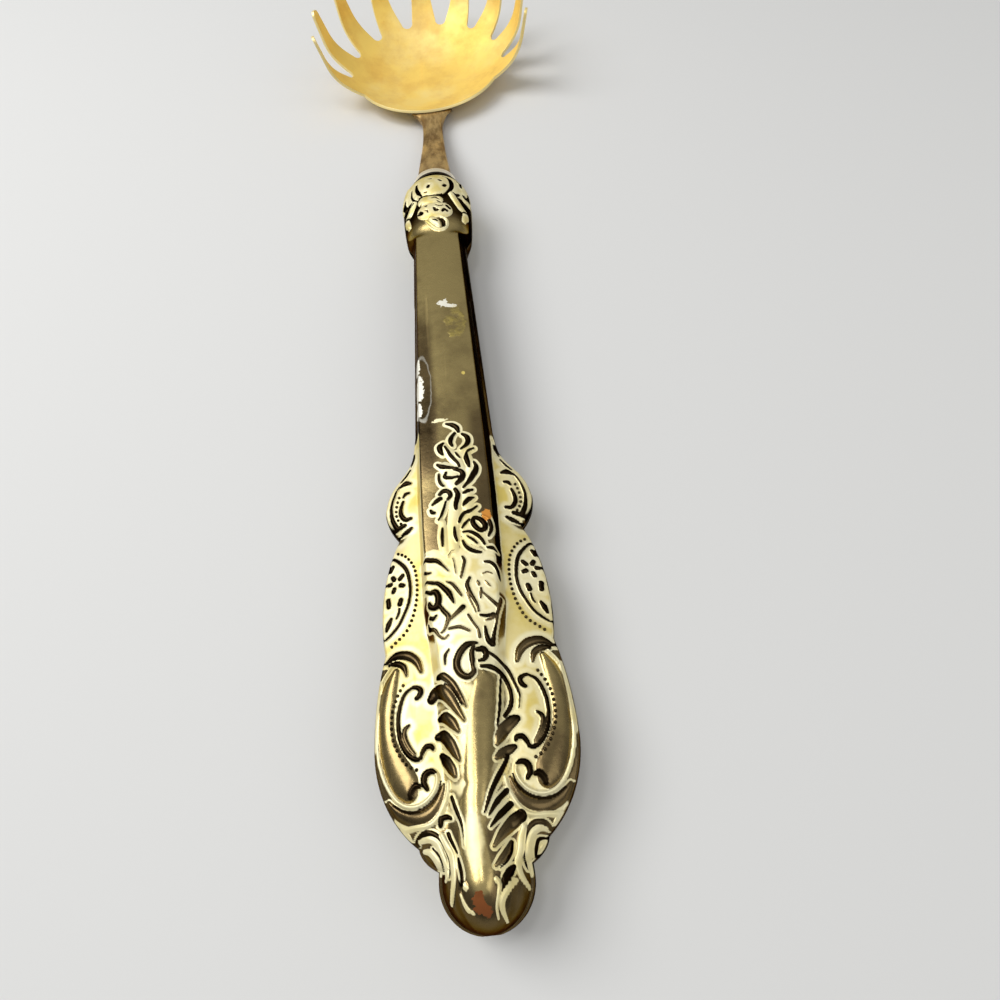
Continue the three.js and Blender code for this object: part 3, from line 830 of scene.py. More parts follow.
# Acanthus leaves either side of the rib
ACANTHUS = [
    ((0.45, 0.62, 0.52, 0.35, 0.15), 0.5, HEAD,
     [(36.8, -5.0), (36.6, -4.0), (35.0, -2.5), (32.5, -1.2), (31.0, -0.6)]),
    (THIN, 0.4, DARK, [(35.3, -3.9), (34.3, -2.7), (33.0, -1.9), (31.6, -1.3)]),
    ((0.75, 1.1, 1.05, 0.85, 0.6, 0.25), 0.65, (1.0, 0.3),
     [(33.6, -6.4), (34.6, -5.4), (33.9, -4.0), (32.4, -2.9), (30.8, -2.0), (29.0, -1.0)]),
    ((0.55, 0.85, 0.8, 0.35), 0.6, HEAD, [(30.2, -5.0), (30.2, -4.2), (29.0, -3.0), (27.6, -2.1)]),
    ((0.6, 0.9, 0.9, 0.7, 0.3), 0.6, HEAD,
     [(27.5, -5.6), (27.5, -4.7), (26.0, -3.6), (24.5, -2.8), (23.3, -2.2)]),
    ((0.5, 0.85, 0.8, 0.4), 0.55, HEAD, [(24.6, -5.1), (23.6, -4.4), (22.3, -3.6), (21.2, -3.1)]),
    ((0.3, 0.3, 0.25, 0.2, 0.12), 0.4, DARK,
     [(18.4, -3.9), (16.5, -3.3), (14.7, -2.6), (13.3, -2.35), (11.5, -2.3)]),
    ((0.4, 0.45, 0.4, 0.25), 0.5, DARK, [(14.8, -5.9), (15.6, -5.7), (15.8, -4.9), (15.5, -4.2)]),
    ((0.32, 0.3, 0.25, 0.15), 0.4, DARK, [(13.5, -4.8), (12.7, -4.5), (11.7, -4.0), (10.7, -3.5)]),
    ((0.2, 0.3, 0.3, 0.2), 0.1, DARK, [(10.0, -3.4), (8.9, -3.2), (7.8, -3.0), (6.6, -3.0)]),
    ((0.6, 0.95, 0.95, 0.75, 0.3), 0.6, HEAD,
     [(29.1, 7.0), (28.8, 6.3), (27.6, 5.0), (26.4, 4.2), (25.2, 3.6)]),
    ((0.45, 0.75, 0.75, 0.4), 0.55, (0.95, 0.45), [(24.8, 6.2), (24.5, 5.4), (23.9, 4.3), (23.2, 3.4)]),
    ((0.3, 0.4, 0.42, 0.35, 0.15), 0.5, DARK,
     [(23.4, 5.0), (22.2, 4.4), (20.2, 3.2), (18.2, 2.1), (15.6, 1.0)]),
    ((0.42, 0.4, 0.15), 0.5, DARK, [(18.5, 4.4), (17.0, 2.9), (15.2, 1.6)]),
    ((0.5, 0.45, 0.15), 0.5, DARK, [(16.6, 4.8), (15.2, 3.2), (13.6, 1.7)]),
    ((0.95, 1.0, 0.7, 0.3), 0.55, (1.0, 0.3), [(14.9, 6.1), (14.2, 5.0), (12.6, 3.3), (11.0, 2.0)]),
    ((0.35, 0.6, 0.55, 0.25), 0.5, (0.8, 0.3), [(11.4, 4.4), (10.3, 3.8), (9.3, 2.9), (8.5, 2.0)]),
    ((0.12, 0.16, 0.16, 0.12), 0.1, DARK, [(11.5, 4.6), (10.3, 4.4), (9.1, 3.7), (8.2, 2.6)]),
    ((0.4, 0.62, 0.5, 0.25), 0.5, DARK, [(8.2, 4.4), (7.6, 3.8), (6.9, 3.2), (6.1, 2.9)]),
]
# Pale fillets round the domed end
FILLETS = [
    ((0.45, 0.52, 0.5, 0.45, 0.42, 0.3), 0.5, PALE,
     [(13.4, -5.8), (11.7, -5.0), (10.3, -4.4), (8.2, -4.3), (6.6, -4.5), (4.4, -5.0)]),
    ((0.45, 0.6, 0.6, 0.5, 0.45, 0.35, 0.25), 0.5, PALE,
     [(13.5, 6.4), (12.0, 5.9), (10.5, 5.6), (9.1, 5.1), (7.7, 5.1), (6.5, 5.6), (5.5, 6.2)]),
    ((0.35, 0.3, 0.22, 0.2, 0.15), 0.3, PALE, [(6.8, 1.9), (6.1, 2.3), (4.8, 2.0), (3.4, 1.6), (2.0, 1.6)]),
    ((0.35, 0.4, 0.42, 0.36, 0.2), 0.3, PALE, [(6.5, 4.5), (5.5, 3.4), (4.3, 2.5), (3.1, 2.3), (1.5, 2.7)]),
    ((0.15, 0.24, 0.3, 0.2), 0.3, PALE, [(5.4, -3.4), (4.3, -3.0), (3.4, -2.5), (2.9, -1.7)]),
    ((0.32, 0.4), 0.3, PALE, [(6.8, -3.0), (6.1, -2.5)]),
]
# Crest above the rib
CREST = [
    ((0.25, 0.55, 0.62, 0.6, 0.55, 0.5, 0.4, 0.25), 0.7, (1.0, 0.8),
     [(41.3, 1.8), (41.1, 0.2), (39.8, -1.1), (38.1, -1.7), (36.6, -1.2), (35.8, 0.0), (36.5, 1.0),
      (37.6, 0.9)]),
    ((0.3, 0.42, 0.4, 0.25), 0.6, (0.9, 0.9), [(37.6, 0.9), (38.6, 0.9), (39.8, 0.9), (40.8, 1.3)]),
    ((0.35, 0.55, 0.5, 0.35, 0.25), 0.65, DARK,
     [(40.2, 1.8), (40.2, 2.8), (39.4, 3.2), (38.5, 2.8), (38.3, 2.0)]),
    ((0.2, 0.3, 0.3, 0.25, 0.22, 0.15), 0.45, DARK,
     [(40.0, 3.1), (38.7, 4.9), (37.2, 6.3), (34.9, 7.2), (32.9, 7.8), (30.8, 7.5)]),
    ((0.25, 0.42, 0.42, 0.36, 0.36, 0.42, 0.3), 0.5, DARK,
     [(37.4, 2.2), (37.2, 3.8), (36.3, 5.3), (34.5, 6.2), (32.6, 6.5), (30.9, 6.1), (29.6, 5.1)]),
    ((0.15, 0.22, 0.25, 0.15), 0.4, DARK, [(36.3, 5.2), (33.4, 4.8), (30.8, 4.5), (28.0, 3.9)]),
    ((0.15, 0.28, 0.15), 0.4, DARK, [(40.8, -2.8), (39.9, -3.5), (38.5, -3.6)]),
]
# Leaf spray and roses on the panel, on their pale bed
SPRAY = [
    ((0.7, 1.0, 1.2, 0.9), 0.2, PALE, [(81.4, -1.6), (79.6, -0.6), (77.6, 0.6), (76.0, 1.4)]),
    ((1.1, 1.6, 1.8, 1.4), 0.2, PALE, [(76.6, -1.6), (75.4, -0.6), (74.0, 0.0), (72.6, 0.2)]),
    ((0.5, 0.8, 0.8, 0.5), 0.2, PALE, [(79.4, 2.9), (77.5, 3.1), (75.2, 3.3), (73.2, 2.6)]),
    ((1.3, 1.6, 1.2), 0.2, PALE, [(70.5, -2.0), (69.0, -2.5), (67.2, -3.0)]),
    ((0.9, 1.1, 1.1, 1.0), 0.2, PALE, [(71.6, 0.2), (69.0, 0.1), (66.0, -0.4), (62.5, -0.8), (59.0, -1.0)]),
    ((0.8, 1.1, 0.9), 0.2, PALE, [(70.5, 2.3), (69.0, 2.3), (67.4, 2.1)]),
    ((2.4, 2.6), 0.2, PALE, [(63.6, 3.4), (62.0, 3.3)]),
    ((0.7, 0.9, 0.8), 0.2, PALE, [(64.6, -2.7), (62.0, -2.6), (58.8, -2.4)]),
    ((0.2, 0.5, 0.55, 0.3), 0.5, DARK, [(86.3, -0.8), (85.9, 0.4), (85.2, 1.2), (84.2, 1.5)]),
    ((0.3, 0.5, 0.3), 0.5, DARK, [(83.9, 0.8), (83.0, 0.1), (82.0, -0.2), (81.0, 0.1)]),
    ((0.3, 0.55, 0.5, 0.3), 0.5, DARK, [(83.5, 2.2), (82.9, 3.0), (81.8, 3.2), (80.8, 2.7), (80.1, 1.8)]),
    ((0.3, 0.6, 0.5, 0.2), 0.5, DARK, [(81.8, -1.6), (81.1, -2.3), (80.1, -2.2), (79.2, -1.8)]),
    (LINE, 0.5, DARK, [(81.0, -1.3), (80.0, -0.8), (79.0, -0.4), (78.0, 0.2), (77.0, 0.9), (76.1, 1.2)]),
    (LINE, 0.5, DARK, [(80.0, 4.1), (79.6, 3.2), (79.0, 2.7)]),
    ((0.3, 0.55, 0.5, 0.25), 0.5, DARK, [(79.0, 2.7), (78.0, 2.6), (77.0, 2.8), (75.9, 3.0)]),
    ((0.25, 0.5, 0.6, 0.5, 0.25), 0.5, DARK,
     [(76.9, 4.0), (75.9, 4.3), (74.9, 4.1), (73.9, 3.5), (72.8, 2.8), (71.5, 1.6)]),
    ((0.25, 0.5, 0.35, 0.2), 0.5, DARK, [(77.2, -3.0), (76.5, -2.0), (76.1, -0.6), (75.8, 0.8)]),
    (THIN, 0.45, DARK, [(79.3, 0.7), (78.7, 1.0), (78.1, 1.4)]),
    ((0.3, 0.5, 0.6, 0.4), 0.5, DARK, [(75.6, 0.2), (75.1, 1.4), (74.2, 1.7), (73.2, 1.2), (72.4, 0.4)]),
    (LINE, 0.5, DARK, [(75.1, -1.4), (74.2, -1.7), (73.8, -0.5), (73.9, 0.8)]),
    (THIN, 0.45, DARK, [(75.0, -2.8), (73.7, -2.8), (72.7, -2.4), (72.3, -2.0)]),
    ((0.4, 0.5, 0.45, 0.3), 0.5, DARK,
     [(70.6, -2.8), (71.2, -2.0), (70.8, -1.1), (69.9, -0.9), (69.2, -1.4)]),
    ((0.5, 0.5, 0.25), 0.5, DARK, [(69.6, -2.8), (69.2, -3.5), (68.6, -4.3)]),
    (LINE, 0.45, DARK, [(67.5, -4.7), (67.0, -4.4), (66.8, -3.9)]),
    (THIN, 0.5, DARK, [(68.8, -1.8), (67.2, -2.3), (66.0, -2.8), (65.2, -3.3)]),
    ((0.4, 0.5, 0.48, 0.4), 0.55, DARK, [(71.2, 0.1), (70.2, 0.5), (69.0, 0.3), (67.9, 0.0), (67.1, 0.0)]),
    ((0.3, 0.45, 0.3), 0.5, DARK, [(70.8, 3.2), (70.6, 2.4), (70.3, 1.6)]),
    ((0.2, 0.55, 0.5, 0.25), 0.5, DARK, [(69.1, 3.4), (68.8, 2.5), (68.2, 1.8), (67.6, 1.4)]),
    ((0.25, 0.42, 0.42, 0.3), 0.5, DARK, [(67.2, 3.8), (66.4, 2.7), (66.0, 1.5), (65.2, 0.8), (64.2, 0.4)]),
    ((0.4, 0.55, 0.5, 0.55, 0.45), 0.6, DARK,
     [(64.8, 3.1), (64.0, 2.8), (63.0, 3.2), (62.2, 4.0), (62.4, 4.8), (63.4, 4.9), (64.4, 4.2),
      (64.8, 3.4)]),
    ((0.25, 0.4, 0.35, 0.25), 0.5, DARK, [(65.1, 4.6), (64.4, 5.6), (63.2, 6.0), (62.0, 5.9), (61.0, 5.4)]),
    (LINE, 0.5, DARK, [(63.0, 0.9), (63.7, 1.4), (64.5, 2.2)]),
    (PETAL, 0.5, DARK, [(62.1, 1.0), (62.0, 2.2), (61.3, 3.3), (60.4, 4.1), (59.4, 4.6)]),
    (PETAL, 0.5, DARK, [(60.3, 0.8), (59.3, 1.2), (58.5, 2.0), (58.0, 3.0), (57.8, 3.8)]),
    (THIN, 0.45, DARK, [(61.2, 1.6), (60.4, 2.6), (59.6, 3.3)]),
    (LINE, 0.45, DARK, [(58.7, 5.0), (58.6, 5.8), (58.2, 6.4)]),
    (LINE, 0.5, DARK, [(63.3, -2.7), (61.6, -2.8), (59.8, -2.8)]),
    (LINE, 0.5, DARK, [(63.2, -0.5), (61.7, -0.5), (60.4, -0.2)]),
    ((0.15, 0.4, 0.5, 0.42, 0.25, 0.12), 0.5, DARK,
     [(57.4, -6.6), (57.6, -6.0), (57.4, -5.2), (57.1, -4.1), (56.1, -3.1), (54.8, -2.1)]),
    (THIN, 0.4, DARK, [(55.6, -6.5), (55.0, -6.0), (55.0, -5.2)]),
    ((0.15, 0.3, 0.36, 0.4, 0.5, 0.55, 0.2), 0.5, DARK,
     [(53.2, -6.5), (53.3, -6.0), (53.0, -5.0), (52.7, -4.0), (51.7, -3.0), (50.6, -2.2), (48.8, -1.5)]),
    ((0.15, 0.26, 0.3, 0.2), 0.45, (0.95, 0.7), [(52.8, -2.6), (52.4, -1.7), (51.3, -0.9), (49.9, -0.1)]),
    ((0.2, 0.4, 0.55, 0.6, 0.58, 0.55, 0.45, 0.3), 0.6, DARK,
     [(51.8, -6.4), (51.2, -5.5), (51.3, -4.6), (50.3, -4.1), (49.1, -4.2), (48.4, -4.7), (48.6, -5.5),
      (49.3, -5.7)]),
    ((0.3, 0.4, 0.42, 0.35, 0.22, 0.12), 0.5, (1.0, 0.6),
     [(48.9, -4.1), (47.7, -3.4), (46.6, -2.6), (45.7, -2.7), (44.4, -3.3), (43.8, -4.0)]),
    ((0.3, 0.35, 0.2), 0.45, DARK, [(46.8, -5.7), (46.5, -5.2), (47.0, -4.6)]),
    ((0.15, 0.3, 0.3, 0.2, 0.18, 0.12), 0.45, (0.95, 0.6),
     [(46.2, -6.3), (45.1, -6.0), (44.5, -5.0), (43.5, -4.4), (42.8, -3.5), (43.3, -2.7)]),
    ((0.2, 0.35, 0.5), 0.5, (0.6, 0.95), [(45.9, -2.3), (46.8, -1.2), (47.8, 0.0)]),
    (THIN, 0.4, (0.9, 0.6), [(44.3, -2.6), (44.4, -1.6), (44.3, -0.6), (43.5, 0.8)]),
    ((0.12, 0.15, 0.12), 0.35, (0.6, 0.6), [(57.6, -2.1), (58.5, -1.4), (58.7, -0.7)]),
    ((0.12, 0.15, 0.12), 0.35, (0.6, 0.6), [(57.1, -1.2), (55.8, -1.0), (54.2, -0.9)]),
    ((0.2, 0.3, 0.28, 0.22), 0.4, (0.9, 0.7), [(57.3, 0.5), (56.4, 0.8), (55.0, 0.5), (53.3, 0.0)]),
    ((0.25, 0.4, 0.35, 0.25, 0.2), 0.45, (0.9, 0.8),
     [(53.1, 1.5), (51.9, 1.0), (50.5, 1.3), (49.4, 1.8), (48.0, 2.4), (46.8, 2.6)]),
    ((0.12, 0.17, 0.15), 0.4, (0.6, 0.6), [(50.4, 0.8), (48.6, 1.4), (46.7, 2.1)]),
    ((0.2, 0.3, 0.34, 0.32, 0.22, 0.12), 0.45, DARK,
     [(55.9, 4.3), (55.8, 5.2), (55.2, 5.9), (54.4, 6.3), (53.4, 6.5), (52.6, 6.6)]),
    ((0.12, 0.14, 0.12), 0.3, (0.45, 0.45), [(53.6, 3.7), (53.9, 4.6), (53.6, 5.4)]),
    (THIN, 0.35, (0.5, 0.5), [(52.3, 2.8), (51.6, 3.0)]),
    ((0.15, 0.2, 0.12), 0.3, (0.45, 0.45), [(52.2, 4.1), (51.7, 4.5), (51.2, 4.9)]),
    ((0.18, 0.24, 0.15), 0.4, (0.7, 0.8), [(50.9, 3.3), (50.1, 3.2), (49.2, 3.1)]),
    ((0.15, 0.22, 0.3, 0.36), 0.4, (0.7, 0.9), [(50.3, 3.4), (49.3, 4.3), (48.3, 5.2), (47.7, 5.8)]),
    ((0.2, 0.24, 0.24, 0.2, 0.18, 0.12), 0.4, (0.7, 0.9),
     [(49.2, 6.5), (48.2, 6.2), (46.2, 5.6), (45.1, 5.4), (43.9, 5.1), (42.1, 4.6)]),
    ((0.22, 0.3, 0.46), 0.45, DARK, [(46.1, 2.8), (45.9, 3.9), (46.0, 5.0)]),
    ((0.36, 0.25, 0.15), 0.4, (0.9, 0.6), [(45.9, 5.0), (45.4, 4.6), (45.1, 3.6)]),
    ((0.25, 0.35, 0.45, 0.42), 0.5, DARK, [(44.0, 3.4), (42.7, 3.5), (41.6, 3.8), (41.0, 4.3)]),
    ((0.42, 0.3, 0.22), 0.5, DARK, [(41.0, 4.4), (42.5, 4.7), (43.9, 5.1)]),
    ((0.22, 0.2, 0.2, 0.25), 0.4, (0.9, 0.7), [(46.3, 0.8), (44.9, 1.5), (43.7, 2.2), (42.3, 2.4)]),
]
# Collar at the bowl's end: pale straps and knobs, alike on both sides
COLLAR_SIDES = [
    ((0.7, 0.75, 0.75, 0.8, 0.55), 0.5, PALE,
     [(155.8, 4.1), (154.0, 4.9), (152.6, 5.6), (151.4, 6.3), (151.0, 6.9)]),
    ((0.6, 0.62, 0.5, 0.4), 0.5, PALE, [(150.2, 7.0), (149.6, 7.0), (148.6, 6.7), (147.6, 6.5)]),
    ((0.8, 1.0, 1.0, 0.8), 0.55, PALE, [(161.2, 6.2), (158.8, 7.0), (156.9, 7.4), (155.4, 7.5)]),
    ((0.15, 0.22, 0.15), -0.2, DARK, [(150.4, 6.2), (150.8, 6.9), (151.2, 7.6)]),
]
# Its broad pale field, oval boss, flowers and lower curl
COLLAR_MIDDLE = [
    ((4.2, 4.2), 0.3, PALE, [(159.5, -7.0), (159.5, 7.0)]),
    ((3.6, 3.6), 0.6, PALE, [(158.6, -0.2), (158.6, 0.5)]),
    ((1.6, 1.4), 0.4, PALE, [(153.2, -2.4), (152.9, 0.8)]),
    ((2.6, 2.6), 0.55, PALE, [(149.5, -1.7), (149.5, 1.6)]),
    ((0.35, 0.45, 0.48, 0.48, 0.45, 0.35), 0.4, PALE,
     [(146.4, -2.2), (145.2, -1.4), (143.6, 0.0), (143.4, 1.6), (144.8, 2.6), (146.2, 2.5), (146.9, 1.6)]),
    ((0.8, 0.9, 0.5), 0.45, PALE, [(146.6, -0.9), (145.4, 0.1), (144.4, 0.7)]),
]
# Dark cuts into them
COLLAR_CUTS = [
    ((0.12, 0.3, 0.5, 0.55, 0.5, 0.4, 0.25, 0.12), -0.35, DARK,
     [(162.7, 2.4), (162.4, 3.4), (161.2, 4.1), (159.5, 4.4), (157.8, 4.3), (156.1, 3.5), (155.0, 2.3),
      (154.6, 0.6)]),
    ((0.3, 0.36), -0.25, OLIVE, [(161.6, -0.9), (161.2, -0.4)]),
    ((0.3, 0.36), -0.3, DARK, [(160.3, 1.5), (159.8, 1.9)]),
    (DROP, -0.35, DARK, [(158.3, 2.9), (157.8, 2.6)]),
    ((0.36, 0.42), -0.3, DARK, [(158.1, -0.9), (157.6, -1.1)]),
    ((0.22, 0.3), -0.2, OLIVE, [(156.3, -2.1), (156.1, -1.7)]),
    ((0.25, 0.45, 0.5, 0.22), -0.35, DARK, [(160.6, -4.0), (158.4, -4.0), (156.8, -3.6), (155.6, -3.0)]),
    ((0.15, 0.24, 0.26, 0.24, 0.15), -0.25, DARK,
     [(159.3, -5.2), (157.2, -5.4), (155.6, -5.1), (154.6, -4.5), (154.1, -3.6)]),
    ((0.15, 0.3, 0.2), -0.3, DARK, [(163.2, 5.6), (161.4, 6.1), (159.5, 6.4)]),
    ((0.25, 0.4, 0.45, 0.25), -0.3, DARK, [(156.3, 4.5), (155.7, 5.2), (156.4, 6.0)]),
    ((0.2, 0.45, 0.4, 0.2), -0.35, DARK, [(156.8, 6.8), (155.9, 7.4), (157.2, 7.9), (159.5, 7.8)]),
    ((0.2, 0.26, 0.25), -0.25, DARK, [(155.1, 5.6), (154.1, 6.1), (153.9, 7.0)]),
    ((0.2, 0.42, 0.45, 0.25), -0.35, DARK, [(157.4, -7.0), (156.0, -7.3), (154.9, -7.1), (154.5, -6.6)]),
    ((0.2, 0.28, 0.2), -0.25, DARK, [(153.9, -4.9), (153.5, -5.6), (153.1, -6.4)]),
    ((0.2, 0.3, 0.2), -0.25, OLIVE, [(153.5, -0.4), (153.7, 0.3), (152.9, 1.2)]),
    ((0.12, 0.18, 0.12), -0.2, OLIVE, [(152.4, 0.7), (151.9, 1.5), (151.7, 2.3)]),
    ((0.15, 0.3, 0.15), -0.3, DARK, [(152.4, -3.2), (151.8, -3.5), (151.2, -3.7)]),
    ((0.6, 0.5), -0.4, DARK, [(149.4, -3.6), (148.9, -3.0)]),
    ((0.3, 0.42, 0.3), -0.35, DARK, [(149.7, 0.0), (148.9, 0.3), (149.0, 0.8)]),
    ((0.3, 0.42, 0.36), -0.35, DARK, [(148.6, 1.8), (149.1, 2.2), (148.9, 2.8)]),
    ((0.4, 0.42), -0.35, DARK, [(150.6, 2.9), (150.0, 3.4)]),
    ((0.26, 0.32), -0.3, DARK, [(151.3, -2.1), (151.0, -1.8)]),
    ((0.12, 0.2, 0.12), -0.2, OLIVE, [(149.6, -2.2), (149.3, -1.7), (148.6, -1.5)]),
    ((0.15, 0.25, 0.15), -0.25, OLIVE, [(150.9, 0.4), (150.4, 1.2), (150.6, 2.0)]),
    ((0.2, 0.45, 0.35), -0.3, DARK, [(146.4, 1.1), (145.6, 1.8), (144.2, 1.9)]),
    ((0.15, 0.25, 0.15), -0.25, DARK, [(146.0, -0.5), (145.8, 0.1), (145.4, 0.5)]),
]
# Rows of beads
BEAD_RADIUS = 0.3
BEAD_STEP = 0.92
BEAD_LIFT = 0.08
BEAD_ROWS = [
    [(36.8, 11.2), (35.2, 12.2), (33.4, 12.9), (31.4, 13.2), (29.4, 13.2), (27.8, 12.9), (26.3, 12.3),
     (25.0, 11.6), (23.8, 10.6), (23.1, 9.3)],
    [(61.8, 11.7), (61.0, 10.5), (59.8, 9.5), (58.2, 8.7), (55.8, 8.3), (53.0, 8.3), (50.4, 8.7),
     (48.4, 9.3), (46.8, 10.0), (45.7, 10.9), (44.9, 12.0), (44.1, 13.2)],
    [(73.6, 11.2), (72.4, 11.6), (71.0, 11.85), (69.8, 11.85), (68.8, 11.55), (67.9, 11.0)],
]


# Tables in the order in which they are laid, and whether they are alike on both sides
FACE_TABLES = [(SCROLL, True), (MEDALLION, True), (CARTOUCHE, True), (SHELL, False), (FILLETS, False),
               (ACANTHUS, False), (CREST, False), (SPRAY, False)]
COLLAR_TABLES = [(COLLAR_MIDDLE, False), (COLLAR_SIDES, True), (COLLAR_CUTS, False)]


def lay_ornament(s, x, tables):
    """Tables of strokes laid over one another on a grid of places."""
    field = Chasing(s, x)
    for strokes, paired in tables:
        lay = field.pair if paired else field.stroke
        for stroke in strokes:
            lay(*stroke)
    return field


# Tones of the face: each fade goes from where a tone starts to where it is full, along or across

STROKE_EDGE = (-0.14, 0.12)
STROKE_REACH = 0.3
PANEL_FADE = (0.3, -0.1)
WALL_TOP = (-0.2, 0.1)
WALL_FOOT = 0.4
LENS_ALONG = [(38.0, 46.0), (54.0, 48.0)]
# The right wall is painted in shade: darker, and kept clear of residue, on the side away from the light
RIGHT_WALL_ALONG = [(52.0, 58.0)]
LEFT_WALL_ALONG = [(86.0, 90.0)]
LEAVES_ACROSS = [(6.8, 5.2)]
LEAVES_ALONG = [(14.0, 18.0), (38.5, 36.0)]
FLOWERS_ALONG = [(56.0, 61.0)]
RIB_FADE = (0.6, -0.6)
RIM_FADE = (0.25, 0.5)
# Soft spots: place along and across, size along and across
SMUDGE = (64.5, 11.5, 1.6, 1.8)
GLINT = (12.5, -0.9, 5.0, 1.7)
# Residue: where it fills the ground, how far it goes round the strokes, and where it is yellowed
RESIDUE_ALONG = [(13.5, 16.5), (SHAFT_START - 1.0, SHAFT_START - 4.0)]
HALO_ALONG = [(6.0, 8.0)]
HALO_PLAIN = 0.45
HALO_FLOWERS = 0.3
OPEN_GROUND = (0.35, 1.5)
SMUDGE_BARE = 0.8
LEAVES_BARE = 0.6
GLINT_PALE = 0.9
# Shade of the bare metal, and its changes: amount, fades across and fades along
GROUND_SHADE = 0.3
GROUND_CHANGES = [
    (0.3, [], [(16.0, 12.0)]),
    (-0.16, [], [(88.0, 100.0)]),
    # Darker left side of the panel and shaft: a painted dark reflection
    (0.5, [(-1.8, -4.2)], [(72.0, 80.0), (126.0, 104.0)]),
    (0.25, [(2.5, 5.0)], [(58.0, 64.0), (92.0, 86.0)]),
    (0.15, [(-1.0, -3.0)], [(76.0, 70.0), (50.0, 58.0)]),
]
LEAVES_SHADE = -0.1
RIM_SHADE = 0.3
RIGHT_WALL_PAINTED_SHADE = 0.9
LEFT_WALL_SHADE = 0.6
LENS_SHADE = 0.6
FOOT_SHADE = 0.7
# The collar's own tones
COLLAR_TONE = (145.5, 150.0)
COLLAR_SHADE = 0.85
COLLAR_YELLOW = 0.6
COLLAR_OPEN = (0.3, 1.2)
CUT_REACH = 0.1


def faded(fades, value):
    """How far a tone is there at a value: the product of its fades."""
    return math.prod(smoothstep(*fade, value) for fade in fades)


def soft_spot(spot, s, x):
    at_s, at_x, along, across = spot
    return np.exp(-((s - at_s) / along) ** 2 - ((x - at_x) / across) ** 2)


def face_tone(s, x, field, rib, panel, run):
    """Residue and shade of the face: residue lies deep and round the strokes, polish stands out."""
    across = np.abs(x)
    gap = field.grid("gap")
    pale = field.grid("pale")
    outside = smoothstep(*STROKE_EDGE, gap)
    on_panel = smoothstep(panel + PANEL_FADE[0], panel + PANEL_FADE[1], across)
    wall = smoothstep(panel + WALL_TOP[0], panel + WALL_TOP[1], across)
    wall = wall * smoothstep(panel + run + WALL_FOOT, panel + run, across)
    lens = wall * faded(LENS_ALONG, s)
    # Painted shade on the right wall, the side turned away from the light
    shaded_right_wall = wall * (x > 0) * faded(RIGHT_WALL_ALONG, s)
    left_wall = wall * (x < 0) * faded(LEFT_WALL_ALONG, s)
    leaves = faded(LEAVES_ACROSS, across) * faded(LEAVES_ALONG, s)
    flowers = on_panel * faded(FLOWERS_ALONG, s)
    on_rib = smoothstep(*RIB_FADE, rib.grid("gap"))
    beyond_rim = smoothstep(*RIM_FADE, across - np.interp(s, *RIM_PLACES))
    smudge = soft_spot(SMUDGE, s, across)
    glint = soft_spot(GLINT, s, x)

    # Where residue fills the ground, and its reach round the strokes
    deep = faded(RESIDUE_ALONG, s)
    thinned = [SMUDGE_BARE * smudge, LEAVES_BARE * leaves]
    for clear_of_residue in [flowers, lens, shaded_right_wall, *thinned, on_rib, beyond_rim]:
        deep = deep * (1 - clear_of_residue)
    halo_reach = HALO_PLAIN + HALO_FLOWERS * flowers
    halo = outside * smoothstep(halo_reach, halo_reach / 2, gap) * faded(HALO_ALONG, s)
    yellowed = smoothstep(*OPEN_GROUND, gap) * (1 - pale)
    # The rib's glint, a painted highlight, goes in with the residue's pale colour
    residue = np.max([deep * outside * (1 + yellowed), halo, pale, GLINT_PALE * glint * on_rib], axis=0)

    # Bare metal between them
    ground = GROUND_SHADE
    for amount, over, along in GROUND_CHANGES:
        ground = ground + amount * faded(over, x) * faded(along, s)
    ground = ground + LEAVES_SHADE * leaves + RIM_SHADE * beyond_rim
    ground = ground + (rib.grid("shade") - ground) * on_rib
    shade = np.where(gap < STROKE_REACH, field.grid("shade"), ground)
    walls = [RIGHT_WALL_PAINTED_SHADE * shaded_right_wall, LENS_SHADE * lens, LEFT_WALL_SHADE * left_wall]
    return residue, np.max([shade] + walls, axis=0)


# Handle's stampings


def row_places():
    """Places of the rings along the handle: round the domed end, over the ornament, shaft and collar."""
    tip = LOBES["tip"][0]
    turn = np.linspace(FIRST_TURN, math.pi / 2, TIP_ROWS, endpoint=False)
    ornate = np.arange(tip, SHAFT_START, ROW_STEP["ornate"])
    shaft = np.arange(SHAFT_START, SHAFT_END, ROW_STEP["shaft"])
    collar_rows = round((HANDLE_LENGTH - SHAFT_END) / ROW_STEP["collar"])
    collar = np.linspace(SHAFT_END, HANDLE_LENGTH, collar_rows)
    return np.concatenate([tip * (1 - np.cos(turn)), ornate, shaft, collar])


def rounded(height, passes):
    """Softens the folds of the plain form across the handle."""
    for _ in range(passes):
        inner = (height[:, :-2] + 2 * height[:, 1:-1] + height[:, 2:]) / 4
        height = np.column_stack([height[:, 0], inner, height[:, -1]])
    return height


def repeated(rows, count):
    return np.repeat(rows[:, None], count, 1)


